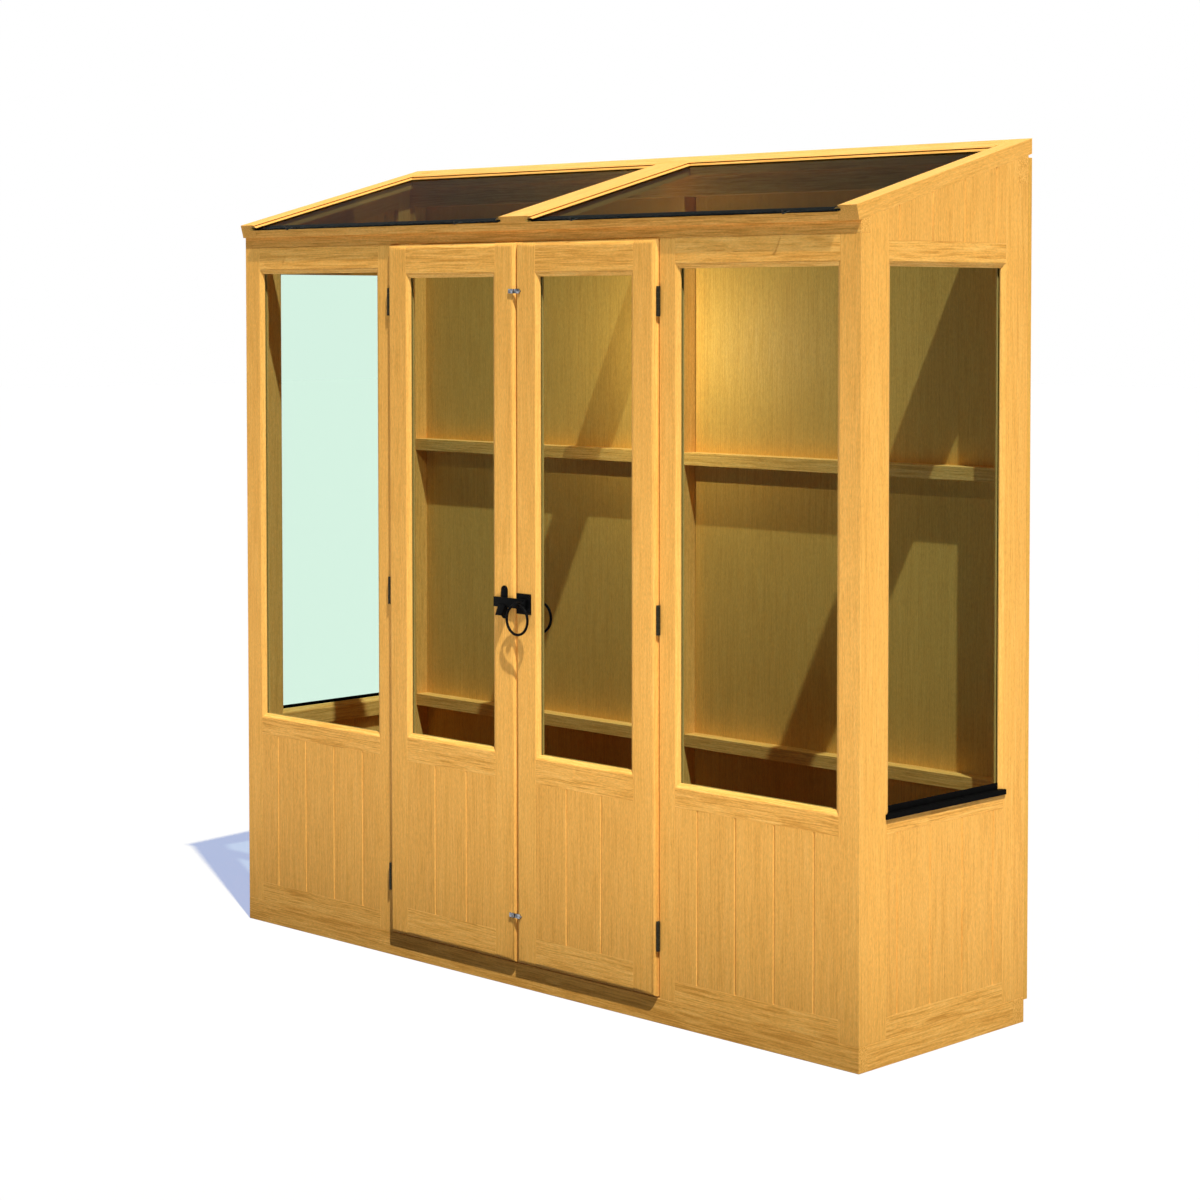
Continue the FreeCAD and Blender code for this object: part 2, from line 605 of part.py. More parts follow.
def build_roof():
    """Roof frame, panes, eave strips and pane clips."""
    slope_length = f"({SLOPE_END} + roof_thick * tan(roof_pitch))"
    edge_length = f"({BACK_RAIL} + groove_depth)"
    inner_side = f"({HALF} - roof_side_rail)"
    behind = block((f"-{HALF} - 1", f"{HALF} + 1"), (WALL, f"{WALL} + roof_thick"), ("0", "2 * front_height"))
    for name, side in SIDES:
        section = [("0", "0"), *pane_edge(f"-({side}) * roof_side_rail", -side), ("0", "roof_thick")]
        rail = padded("XZ_Plane", section, edge_length, reverse=True)
        on_slope(rail, f"({side}) * {HALF}", "0", "0")
        end = sloped(mirrored(side, inner_side, HALF), (edge_length, slope_length), ("0", "roof_thick"))
        lip_end = sloped(mirrored(side, f"{inner_side} - lip_reach - 1", inner_side),
                         (BACK_RAIL, f"{edge_length} + 1"), ("0", "roof_thick"))
        node(f"roof_{name}_rail", cut(joined(cut(rail, lip_end), end), behind))
    half_centre = "(roof_centre_rail / 2)"
    right_edge = pane_edge(half_centre, 1)
    left_edge = [(f"-({across})", up) for across, up in reversed(right_edge)]
    over = padded("XZ_Plane", right_edge + left_edge, BACK_RAIL, reverse=True)
    on_slope(over, "0", "0", "0")
    lap = sloped((f"-{half_centre}", half_centre), ("0", "roof_front_rail"), ("0", "front_rail_height"))
    node("roof_centre_rail", cut(over, lap))
    back_section = [(SLOPE_END, "0"), (slope_length, "roof_thick"), *reversed(pane_edge(BACK_RAIL, -1))]
    back = padded("YZ_Plane", back_section, f"2 * {inner_side}")
    on_slope(back, f"-{inner_side}", "0", "0")
    lip_run = (f"{BACK_RAIL} - lip_reach - 1", BACK_RAIL)
    at_centre = (f"-({half_centre} + lip_reach)", f"{half_centre} + lip_reach")
    back = cut(back, sloped(at_centre, lip_run, ("0", "roof_thick")))
    for _, side in SIDES:
        at_side = mirrored(side, f"{inner_side} - lip_reach", f"{inner_side} + 1")
        back = cut(back, sloped(at_side, lip_run, ("0", "roof_thick")))
    node("roof_back_rail", back)
    node("roof_front_rail", sloped(
        (f"-{inner_side}", inner_side), ("0", "roof_front_rail"), ("0", "front_rail_height")))
    panes, strips, clips = [], [], []
    fit = "board_clearance"
    clip_front = f"(pane_overhang + {fit} + clip_gauge)"
    clip_low = f"({PANE_LOW} - clip_gauge)"
    for _, side in SIDES:
        edges = (f"{half_centre} - groove_depth + glass_clearance / 2",
                 f"{inner_side} + groove_depth - glass_clearance / 2")
        panes.append(sloped(
            mirrored(side, *edges), ("-pane_overhang", f"{BACK_RAIL} + groove_depth - glass_clearance / 2"),
            (PANE_LOW, f"{PANE_LOW} + glass_thick")))
        strip = sloped(
            mirrored(side, half_centre, inner_side), ("0", "strip_depth"), ("front_rail_height", PANE_LOW))
        for at in (f"{half_centre} + clip_inset", f"{inner_side} - clip_inset"):
            across = mirrored(side, f"{at} - clip_width / 2", f"{at} + clip_width / 2")
            strap = sloped(across, (f"-{clip_front}", "clip_tail"), (clip_low, PANE_LOW))
            hook = sloped(across, (f"-{clip_front}", f"clip_gauge - {clip_front}"),
                          (clip_low, f"{clip_low} + clip_hook"))
            clips.append(joined(strap, hook))
            slot_x = mirrored(side, f"{at} - clip_width / 2 - {fit}", f"{at} + clip_width / 2 + {fit}")
            strip = cut(strip, sloped(slot_x, ("0", f"clip_tail + {fit}"), (clip_low, PANE_LOW)))
        strips.append(strip)
    node("roof_panes", group(*panes))
    node("roof_eave_strips", group(*strips))
    node("roof_pane_clips", group(*clips))


# Doors

def build_door(name, side):
    """One door: rounded stiles and rails, boards below, pane and beads above."""
    leaf = (DOOR_FACE, DOOR_BACK)
    upright = (DOOR_FOOT, DOOR_TOP)
    hinge_in = f"({DOOR_EDGE} - door_stile)"
    lock_out = f"({DOOR_MEET} + door_stile)"
    edge_side = "x+" if side > 0 else "x-"
    meet_side = "x-" if side > 0 else "x+"
    hinge_stile = block(mirrored(side, hinge_in, DOOR_EDGE), leaf, upright)
    node(f"{name}_door_hinge_stile", rounded(hinge_stile, "door_round", (edge_side, "z-", "z+")))
    lock_stile = block(mirrored(side, DOOR_MEET, lock_out), leaf, upright)
    lock_stile = rounded(lock_stile, "door_round", (meet_side, "z-", "z+"))
    if side > 0:
        lock_stile = cut(lock_stile, spindle_hole())
    node(f"{name}_door_lock_stile", lock_stile)
    span = mirrored(side, lock_out, hinge_in)
    top = rounded(block(span, leaf, (DOOR_LIGHT, DOOR_TOP)), "door_round", ("z+",))
    middle_rail = block(span, leaf, (BOARD_TOP, DOOR_SILL))
    bottom = rounded(block(span, leaf, (DOOR_FOOT, PANEL_FOOT)), "door_round", ("z-",))
    node(f"{name}_door_rails", group(top, middle_rail, bottom))
    opening = block(span, (DOOR_FACE, f"{DOOR_FACE} + board_thick"), (PANEL_FOOT, BOARD_TOP))
    width = f"({hinge_in} - {lock_out})"
    middle = f"({span[0]} + {span[1]}) / 2"
    rise = f"({BOARD_TOP} - {PANEL_FOOT})"
    node(f"{name}_door_boards", boards(width, rise, opening, 0, middle, DOOR_FACE, PANEL_FOOT))
    pane, ring = front_glazing(span, (DOOR_SILL, DOOR_LIGHT), DOOR_FACE)
    node(f"{name}_door_pane", pane)
    node(f"{name}_door_beads", group(*ring))


# Countersunk screws, flush with the face of the plate that they hold

def along_drive(kind, spot, drive, depth, sizes):
    """A round piece of a screw that starts at a depth behind the plate's face."""
    solid = doc.addObject(kind, "screw")
    for name, text in sizes:
        solid.setExpression(name, linked(text))
    solid.Placement = FreeCAD.Placement(FreeCAD.Vector(), FreeCAD.Rotation(AXES["z"], drive))
    return place(solid, *(f"({at}) + ({way:.0f}) * ({depth})" for at, way in zip(spot, drive)))


def screw(spot, drive, plate):
    """A screw whose head fills the plate and whose shank is driven into the wood."""
    head = along_drive("Part::Cone", spot, drive, "0", (
        ("Radius1", "screw_head"), ("Radius2", "screw_radius"), ("Height", plate)))
    shank = along_drive("Part::Cylinder", spot, drive, plate, (
        ("Radius", "screw_radius"), ("Height", "screw_length")))
    return joined(head, shank)


def countersink(spot, drive, plate):
    """The hole in a plate that a screw's head sits in."""
    return along_drive("Part::Cone", spot, drive, "0", (
        ("Radius1", "screw_head + running_clearance"), ("Radius2", "screw_radius + running_clearance"),
        ("Height", plate)))


def fastened(plate, spots, drive, thickness, screws):
    """A plate with a countersunk hole at each spot, and its screws added to a list."""
    screws += [screw(spot, drive, thickness) for spot in spots]
    return cut(plate, *(countersink(spot, drive, thickness) for spot in spots))


# Hinges

HINGE_HEIGHTS = (
    f"({DOOR_FOOT} + hinge_inset)", f"(({DOOR_FOOT} + {DOOR_TOP}) / 2)", f"({DOOR_TOP} - hinge_inset)")
KNUCKLES = 5
LEAF_SCREWS = (-1, 0, 1)
LEAF_FRONT = "(knuckle_radius + knuckle_gap - axis_reach)"


def leaf(side, height, plate_x, knuckles, face, drive, screws):
    """A hinge leaf: a plate screwed to the wood, and its share of the knuckle."""
    foot = f"({height} - hinge_length / 2)"
    axis = (f"({side}) * ({DOORWAY} + axis_offset)", "-axis_reach")
    span = mirrored(side, *plate_x)
    plate = block(span, (LEAF_FRONT, f"{LEAF_FRONT} + leaf_width"), (foot, f"{foot} + hinge_length"))
    pieces = [plate]
    for index in knuckles:
        low = f"({foot} + hinge_length * {index} / {KNUCKLES} + knuckle_gap / 2)"
        high = f"({foot} + hinge_length * {index + 1} / {KNUCKLES} - knuckle_gap / 2)"
        pieces.append(rod("z", "knuckle_radius", low, high, (axis[0], axis[1], low)))
        pieces.append(block(span, ("-axis_reach", LEAF_FRONT), (low, high)))
    below, above = f"{foot} - knuckle_gap", f"{foot} + hinge_length + knuckle_gap"
    bore = rod("z", "pin_radius + running_clearance", below, above, (*axis, foot))
    middle = f"{LEAF_FRONT} + leaf_width / 2"
    heights = [f"{height} + ({row}) * hinge_length / 3" for row in LEAF_SCREWS]
    spots = [(f"({side}) * ({face})", middle, level) for level in heights]
    return fastened(cut(joined(*pieces), bore), spots, AXES["x"] * drive, "leaf_thick", screws)


def build_hinges(screws):
    """Three butt hinges a side: fixed leaves and pins on the jambs, moving leaves on the doors."""
    fixed, pins = [], []
    frame_face = f"({DOORWAY} - leaf_thick)"
    door_face = f"({DOOR_EDGE} + leaf_thick)"
    for name, side in SIDES:
        moving = []
        for height in HINGE_HEIGHTS:
            frame_plate, door_plate = (frame_face, DOORWAY), (DOOR_EDGE, door_face)
            fixed.append(leaf(
                side, height, frame_plate, range(0, KNUCKLES, 2), frame_face, side, screws["frame"]))
            moving.append(leaf(
                side, height, door_plate, range(1, KNUCKLES, 2), door_face, -side, screws[name]))
            foot = f"({height} - hinge_length / 2)"
            axis = (f"({side}) * ({DOORWAY} + axis_offset)", "-axis_reach", foot)
            pins.append(rod("z", "pin_radius", foot, f"{foot} + hinge_length", axis))
        node(f"{name}_hinge_leaves", group(*moving))
    node("frame_hinge_leaves", group(*fixed))
    node("hinge_pins", group(*pins))


# Ring latch

SPINDLE = ("latch_offset", "0", "latch_height")
RING_Y = "(door_proud + ring_standoff)"
INNER_RING_Y = f"({DOOR_BACK} + ring_standoff)"
PLATE_FRONT = "(-door_proud - plate_thick)"
BAR_BACK = f"({PLATE_FRONT} - knuckle_gap)"
BAR_FRONT = f"({BAR_BACK} - bar_thick)"


def spindle_hole():
    """The hole through the door and its plates that the spindle turns in."""
    radius = "spindle_radius + running_clearance"
    return rod("y", radius, "-2 * door_thick", "2 * door_thick", SPINDLE)


def ring(y):
    """A round pull ring that hangs in the spindle's eye."""
    hoop = doc.addObject("Part::Torus", "ring")
    hoop.setExpression("Radius1", linked("ring_radius"))
    hoop.setExpression("Radius2", linked("ring_wire"))
    hoop.Placement = FreeCAD.Placement(FreeCAD.Vector(), FreeCAD.Rotation(FreeCAD.Vector(1, 0, 0), 90))
    return place(hoop, "latch_offset", y, "latch_height - ring_radius")


def build_latch(screws):
    """Plates, spindle with its bar and eyes, two rings, and the keeper on the other door."""
    across = ("latch_offset - latch_plate / 2", "latch_offset + latch_plate / 2")
    up = ("latch_height - latch_plate / 2", "latch_height + latch_plate / 2")
    plates = []
    for face, wood, drive in ((PLATE_FRONT, DOOR_FACE, 1), (f"({DOOR_BACK} + plate_thick)", DOOR_BACK, -1)):
        plate = cut(block(across, (face, wood) if drive > 0 else (wood, face), up), spindle_hole())
        inset = "(latch_plate / 2 - 2 * screw_head)"
        corners = [(f"latch_offset + ({column}) * {inset}", face, f"latch_height + ({row}) * {inset}")
                   for column in (-1, 1) for row in (-1, 1)]
        plates.append(fastened(plate, corners, AXES["y"] * drive, "plate_thick", screws["right"]))
    node("latch_plates", group(*plates))
    outer_end = f"(-{RING_Y} - hub_nose)"
    inner_end = f"({INNER_RING_Y} + hub_nose)"
    spindle = rod("y", "spindle_radius", outer_end, inner_end, SPINDLE)
    outer_hub = rod("y", "hub_radius", outer_end, BAR_BACK, SPINDLE)
    inner_hub = rod("y", "hub_radius", f"{DOOR_BACK} + plate_thick + knuckle_gap", inner_end, SPINDLE)
    bar = block(
        ("latch_offset - bar_reach", "latch_offset + bar_height / 2"), (BAR_FRONT, BAR_BACK),
        ("latch_height - bar_height / 2", "latch_height + bar_height / 2"))
    eyes = []
    for y in (f"-{RING_Y}", INNER_RING_Y):
        start, end = "latch_offset - 2 * hub_radius", "latch_offset + 2 * hub_radius"
        eyes.append(rod("x", "eye_radius", start, end, (start, y, "latch_height")))
    node("latch_bar", cut(joined(spindle, outer_hub, inner_hub, bar), *eyes))
    node("outer_ring", ring(f"-{RING_Y}"))
    node("inner_ring", ring(INNER_RING_Y))
    build_keeper(screws)


def build_keeper(screws):
    """Round-ended plate with a ramp below and an upturned lip that the latch bar drops behind."""
    half = "(keeper_width / 2)"
    tip = "(keeper_height / 2)"
    across = (f"-keeper_offset - {half}", f"-keeper_offset + {half}")
    depth = (PLATE_FRONT, DOOR_FACE)
    plate = [block(across, depth, (f"latch_height - ({tip} - {half})", f"latch_height + ({tip} - {half})"))]
    for end in (-1, 1):
        centre = ("-keeper_offset", "0", f"latch_height + ({end}) * ({tip} - {half})")
        plate.append(rod("y", half, *depth, centre))
    spots = [("-keeper_offset", PLATE_FRONT, f"latch_height + ({end}) * ({tip} - 1.5 * screw_head)")
             for end in (-1, 1)]
    plate = fastened(joined(*plate), spots, AXES["y"], "plate_thick", screws["left"])
    seat = "(latch_height - bar_height / 2 - knuckle_gap)"
    lip_top = f"({seat} + keeper_lip)"
    lip_back = f"({BAR_FRONT} - knuckle_gap)"
    foot = f"({seat} - keeper_foot)"
    profile = (
        (PLATE_FRONT, foot), (PLATE_FRONT, seat), (lip_back, seat), (lip_back, lip_top),
        (f"{lip_back} - plate_thick", lip_top), (f"{PLATE_FRONT} - keeper_ramp", foot))
    ramp = place(padded("YZ_Plane", profile, "keeper_width"), across[0], "0", "0")
    node("latch_keeper", joined(plate, ramp))


# Small bolts across the gap between the doors

def build_bolts():
    """A case on the right door, a keep on the left one and a sliding bolt, at top and bottom."""
    cases, keeps = [], []
    depth = (f"{DOOR_FACE} - case_depth", DOOR_FACE)
    centre_y = f"({DOOR_FACE} - case_depth / 2)"
    start = f"({DOOR_MEET} + running_clearance)"
    for name, height in (("top", f"({DOOR_TOP} - bolt_inset)"), ("bottom", f"({DOOR_FOOT} + bolt_inset)")):
        up = (f"{height} - case_height / 2", f"{height} + case_height / 2")
        centre = ("0", centre_y, height)
        bore = "bolt_radius + running_clearance"
        for side, held in ((1, cases), (-1, keeps)):
            body = block(mirrored(side, start, f"{start} + case_length"), depth, up)
            held.append(cut(body, rod("x", bore, "-2 * case_length", "2 * case_length", centre)))
        knob_start = f"({start} + case_length + knuckle_gap)"
        shaft = rod("x", "bolt_radius", "-bolt_throw", knob_start, centre)
        knob = rod("x", "knob_radius", knob_start, f"{knob_start} + knob_length", centre)
        node(f"{name}_bolt", joined(shaft, knob))
    node("bolt_cases", group(*cases))
    node("bolt_keeps", group(*keeps))


def main():
    """Build every piece, test it and write it out."""
    screws = {"frame": [], "left": [], "right": []}
    build_base()
    build_front()
    build_sides()
    build_back()
    build_roof()
    for name, side in SIDES:
        build_door(name, side)
    build_hinges(screws)
    build_latch(screws)
    build_bolts()
    for name, solids in screws.items():
        node(f"{name}_screws", group(*solids))
    doc.recompute()
    faults = [thing.Label for thing in doc.Objects if {"Invalid", "Error"} & set(thing.State)]
    for piece in nodes:
        shape = piece.Shape
        if shape.isNull() or not shape.isValid() or not shape.Solids:
            faults.append(piece.Label)
    if faults:
        raise RuntimeError("pieces that failed: " + ", ".join(faults))
    os.makedirs("parts", exist_ok=True)
    for piece in nodes:
        piece.Shape.exportStep(f"parts/{piece.Label}.step")
        print(piece.Label, len(piece.Shape.Solids), "solids")
    print(len(nodes), "nodes")


main()
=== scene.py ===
"""Looks of a wooden lean-to greenhouse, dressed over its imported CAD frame.

Every timber becomes a planed length of oiled softwood with eased edges and a grain of its own, the panes
become faintly green glass, and the latch, hinges, bolts, seals and clips get their metal and plastic
finishes. A plain white floor, a sun-like key light and a camera at the photograph's angle complete
the scene.
"""
import json
import logging
import math
import random
from dataclasses import dataclass, field
from enum import Enum

import bmesh
import bpy
from mathutils import Matrix, Vector


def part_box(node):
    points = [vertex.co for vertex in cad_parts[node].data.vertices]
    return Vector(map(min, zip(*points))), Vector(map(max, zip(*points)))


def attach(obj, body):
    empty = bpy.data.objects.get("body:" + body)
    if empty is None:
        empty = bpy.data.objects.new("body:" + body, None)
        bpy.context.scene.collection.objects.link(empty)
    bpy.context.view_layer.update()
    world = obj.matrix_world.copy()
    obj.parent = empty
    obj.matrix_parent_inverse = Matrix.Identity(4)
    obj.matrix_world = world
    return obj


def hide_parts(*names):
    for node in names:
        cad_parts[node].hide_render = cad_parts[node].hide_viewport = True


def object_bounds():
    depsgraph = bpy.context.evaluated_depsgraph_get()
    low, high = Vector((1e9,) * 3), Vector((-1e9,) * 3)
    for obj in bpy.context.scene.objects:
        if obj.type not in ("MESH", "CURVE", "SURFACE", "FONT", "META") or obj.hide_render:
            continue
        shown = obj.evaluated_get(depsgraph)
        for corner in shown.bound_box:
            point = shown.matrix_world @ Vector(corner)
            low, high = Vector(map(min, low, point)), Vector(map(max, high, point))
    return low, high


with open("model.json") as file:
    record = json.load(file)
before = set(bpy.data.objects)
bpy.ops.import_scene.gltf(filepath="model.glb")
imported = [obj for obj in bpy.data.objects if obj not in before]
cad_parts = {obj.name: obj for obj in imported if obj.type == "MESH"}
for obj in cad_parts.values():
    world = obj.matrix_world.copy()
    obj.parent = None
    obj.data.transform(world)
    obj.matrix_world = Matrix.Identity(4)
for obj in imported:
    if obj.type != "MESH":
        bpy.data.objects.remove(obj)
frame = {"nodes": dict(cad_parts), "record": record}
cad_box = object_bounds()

log = logging.getLogger("greenhouse")

Colour = tuple[float, float, float, float]
Scale = tuple[float, float, float]
ROOF_SLOPE = math.radians(15.0)

# Metres and degrees that the meshing works with
MERGE_DISTANCE = 1e-5
FLAT_TURN = 0.6
ARRIS_TURN = 50.0
ARRIS_SEGMENTS = 2
MOULDED_TURNS = (6.0, 45.0)
MOULDED_SEGMENTS = 4
FORGED_SMOOTH = 40.0

# How strongly the grain shows, and the range that each timber's stretch of grain starts in
LEVEL_BOLDNESS = 1.15
UPRIGHT_BOLDNESS = 0.5
GRAIN_RANGE = 6.0


def shade(red: int, green: int, blue: int) -> Colour:
    """Turns a colour as a screen shows it into the linear colour that a shader takes.

    Args:
        red: Red, 0 to 255.
        green: Green, 0 to 255.
        blue: Blue, 0 to 255.

    Returns:
        The linear colour with an alpha of 1.
    """
    parts = [value / 255 for value in (red, green, blue)]
    linear = [part / 12.92 if part <= 0.04045 else ((part + 0.055) / 1.055) ** 2.4 for part in parts]
    return (linear[0], linear[1], linear[2], 1.0)


class Grain(Enum):
    """Which way the fibres of a timber run."""

    WIDE = "along the front"
    DEEP = "front to back"
    UPRIGHT = "up"
    SLOPE = "up the roof"
    LONGEST = "along the longest side of each timber"


GRAIN_AXES: dict[Grain, tuple[Vector, Vector, Vector]] = {
    Grain.WIDE: (Vector((1, 0, 0)), Vector((0, 1, 0)), Vector((0, 0, 1))),
    Grain.DEEP: (Vector((0, 1, 0)), Vector((1, 0, 0)), Vector((0, 0, 1))),
    Grain.UPRIGHT: (Vector((0, 0, 1)), Vector((1, 0, 0)), Vector((0, 1, 0))),
    Grain.SLOPE: (
        Vector((0, math.cos(ROOF_SLOPE), math.sin(ROOF_SLOPE))),
        Vector((1, 0, 0)),
        Vector((0, -math.sin(ROOF_SLOPE), math.cos(ROOF_SLOPE))),
    ),
}


class NodeGraph:
    """The shader nodes of one material, added and linked by short calls."""

    def __init__(self, name: str) -> None:
        """Starts a material that has only its output node."""
        self.material = bpy.data.materials.new(name)
        self.material.use_nodes = True
        self.tree = self.material.node_tree
        self.tree.nodes.clear()
        self.output = self.tree.nodes.new("ShaderNodeOutputMaterial")

    def put(self, socket: bpy.types.NodeSocket, value: object) -> None:
        """Links a socket to another one, or sets its own value."""
        if isinstance(value, bpy.types.NodeSocket):
            self.tree.links.new(value, socket)
        else:
            socket.default_value = value

    def add(
        self, kind: str, sockets: dict[str, object] | None = None, **settings: object
    ) -> bpy.types.Node:
        """Adds one shader node.

        Args:
            kind: The node's type without its ShaderNode prefix.
            sockets: Values or sockets for its inputs, by name.
            settings: Other properties of the node.

        Returns:
            The new node.
        """
        node = self.tree.nodes.new("ShaderNode" + kind)
        for name, value in settings.items():
            setattr(node, name, value)
        for name, value in (sockets or {}).items():
            self.put(node.inputs[name], value)
        return node

    def attribute(self, name: str, output: str = "Fac") -> bpy.types.NodeSocket:
        """Reads one of the piece's own attributes."""
        return self.add("Attribute", attribute_name=name).outputs[output]

    def stretched(self, place: bpy.types.NodeSocket, scale: Scale) -> bpy.types.NodeSocket:
        """Scales a place in space along its three axes."""
        return self.add("Mapping", {"Vector": place, "Scale": scale}).outputs["Vector"]

    def noise(
        self, place: bpy.types.NodeSocket, scale: float = 1.0, detail: float = 2.0, roughness: float = 0.5
    ) -> bpy.types.NodeSocket:
        """Adds a noise pattern.

        Args:
            place: Where the pattern is read.
            scale: How many features fit in a metre.
            detail: How many finer layers are added.
            roughness: How strong the finer layers are.

        Returns:
            The pattern's value, mostly between 0.3 and 0.7.
        """
        sockets = {"Vector": place, "Scale": scale, "Detail": detail, "Roughness": roughness}
        return self.add("TexNoise", sockets).outputs[0]

    def maths(self, operation: str, first: object, second: object) -> bpy.types.NodeSocket:
        """Combines two values by a named operation."""
        node = self.add("Math", operation=operation)
        self.put(node.inputs[0], first)
        self.put(node.inputs[1], second)
        return node.outputs[0]

    def remap(
        self, value: bpy.types.NodeSocket, low: float, high: float, to_low: float, to_high: float
    ) -> bpy.types.NodeSocket:
        """Maps one range of values to another, and clamps it."""
        sockets = {"Value": value, "From Min": low, "From Max": high, "To Min": to_low, "To Max": to_high}
        return self.add("MapRange", sockets).outputs[0]

    def ramp(self, value: bpy.types.NodeSocket, stops: list[tuple[float, Colour]]) -> bpy.types.NodeSocket:
        """Turns a value into a colour.

        Args:
            value: The value, from 0 to 1.
            stops: Places along the value with their colours, in order.

        Returns:
            The colour.
        """
        node = self.add("ValToRGB", {"Fac": value})
        elements = node.color_ramp.elements
        while len(elements) < len(stops):
            elements.new(0.5)
        for element, (place, colour) in zip(elements, stops):
            element.position = place
            element.color = colour
        return node.outputs["Color"]

    def blend(self, share: object, under: object, over: object, mode: str = "MIX") -> bpy.types.NodeSocket:
        """Lays one colour over another.

        Args:
            share: How much of the upper colour shows.
            under: The lower colour.
            over: The upper colour.
            mode: How the two are combined.

        Returns:
            The combined colour.
        """
        # The colours of a Mix node are its inputs 6 and 7 and its output 2
        node = self.add("Mix", data_type="RGBA", blend_type=mode)
        for index, value in ((0, share), (6, under), (7, over)):
            self.put(node.inputs[index], value)
        return node.outputs[2]

    def bump(self, height: bpy.types.NodeSocket, strength: float, distance: float) -> bpy.types.NodeSocket:
        """Turns a height into a normal."""
        sockets = {"Height": height, "Strength": strength, "Distance": distance}
        return self.add("Bump", sockets).outputs["Normal"]

    def surface(self, shader: bpy.types.Node) -> bpy.types.Material:
        """Sends a shader to the output and returns the finished material."""
        self.tree.links.new(shader.outputs[0], self.output.inputs["Surface"])
        return self.material


@dataclass(frozen=True)
class WoodFinish:
    """Oiled, planed softwood: pale early wood, thin late-wood lines, fine fibres and pores.

    Each scale says how many features of a pattern fit in a metre along the fibres and across them.
    """

    name: str
    late: Colour
    body: Colour
    pale: Colour
    specular: float = 0.15
    sway_scale: Scale = (7.0, 16.0, 16.0)
    sway_reach: float = 0.006
    band_scale: Scale = (1.1, 34.0, 34.0)
    streak_scale: Scale = (9.0, 350.0, 350.0)
    fleck_scale: Scale = (110.0, 420.0, 420.0)
    pore_scale: Scale = (45.0, 1300.0, 1300.0)
    ring_stretch: Scale = (0.05, 1.0, 0.35)
    ring_scale: float = 34.0
    fleck_depth: float = 0.11
    pore_depth: float = 0.28
    arris_wear: float = 0.12

    def material(self) -> bpy.types.Material:
        """Builds the material, which reads the grain, bold, tone and arris attributes of a timber."""
        g = NodeGraph(self.name)
        grain = self.swayed(g, g.attribute("grain", "Vector"))
        bands = g.noise(g.stretched(grain, self.band_scale))
        streaks = g.noise(g.stretched(grain, self.streak_scale), roughness=0.55)
        flecks = g.noise(g.stretched(grain, self.fleck_scale), roughness=0.6)
        pores = g.noise(g.stretched(grain, self.pore_scale), detail=1.0)
        rings = g.add(
            "TexWave",
            {
                "Vector": g.stretched(grain, self.ring_stretch), "Scale": self.ring_scale,
                "Distortion": 5.0, "Detail": 2.0, "Detail Scale": 1.4, "Detail Roughness": 0.6,
            },
            wave_type="BANDS", bands_direction="Y", wave_profile="SAW",
        ).outputs["Fac"]
        figure = g.maths("ADD", g.maths("MULTIPLY", bands, 0.3), streaks)
        figure = g.maths("SUBTRACT", figure, g.maths("MULTIPLY", rings, 0.07))
        figure = g.remap(figure, 0.4, 0.84, -0.5, 0.5)
        figure = g.maths("ADD", g.maths("MULTIPLY", figure, g.attribute("bold")), 0.5)
        colour = g.ramp(figure, [(0.0, self.late), (0.5, self.body), (1.0, self.pale)])
        colour = g.blend(g.remap(pores, 0.58, 0.72, 0.0, self.pore_depth), colour, self.late, "MULTIPLY")
        colour = g.blend(g.maths("MULTIPLY", g.attribute("arris"), self.arris_wear), colour, self.pale)
        value = g.remap(g.attribute("tone"), 0.0, 1.0, 0.975, 1.02)
        value = g.maths("ADD", value, g.remap(flecks, 0.3, 0.7, -self.fleck_depth, self.fleck_depth))
        colour = g.add("HueSaturation", {"Value": value, "Color": colour}).outputs["Color"]
        height = g.maths("ADD", streaks, g.maths("MULTIPLY", pores, -0.5))
        shader = g.add(
            "BsdfPrincipled",
            {
                "Base Color": colour, "Roughness": g.remap(streaks, 0.3, 0.7, 0.66, 0.5),
                "Specular IOR Level": self.specular, "Normal": g.bump(height, 0.22, 0.0006),
            },
        )
        return g.surface(shader)

    def swayed(self, g: NodeGraph, grain: bpy.types.NodeSocket) -> bpy.types.NodeSocket:
        """Makes the fibres waver from side to side, most where the grain is bold.

        Args:
            g: The material's nodes.
            grain: The place along and across the fibres.

        Returns:
            The place along and across wavering fibres.
        """
        bend = g.maths("SUBTRACT", g.noise(g.stretched(grain, self.sway_scale)), 0.5)
        bend = g.maths("MULTIPLY", g.maths("MULTIPLY", bend, g.attribute("bold")), self.sway_reach)
        across = g.add("CombineXYZ", {"Y": bend, "Z": bend}).outputs["Vector"]
        moved = g.add("VectorMath", operation="ADD")
        g.put(moved.inputs[0], grain)
        g.put(moved.inputs[1], across)
        return moved.outputs["Vector"]


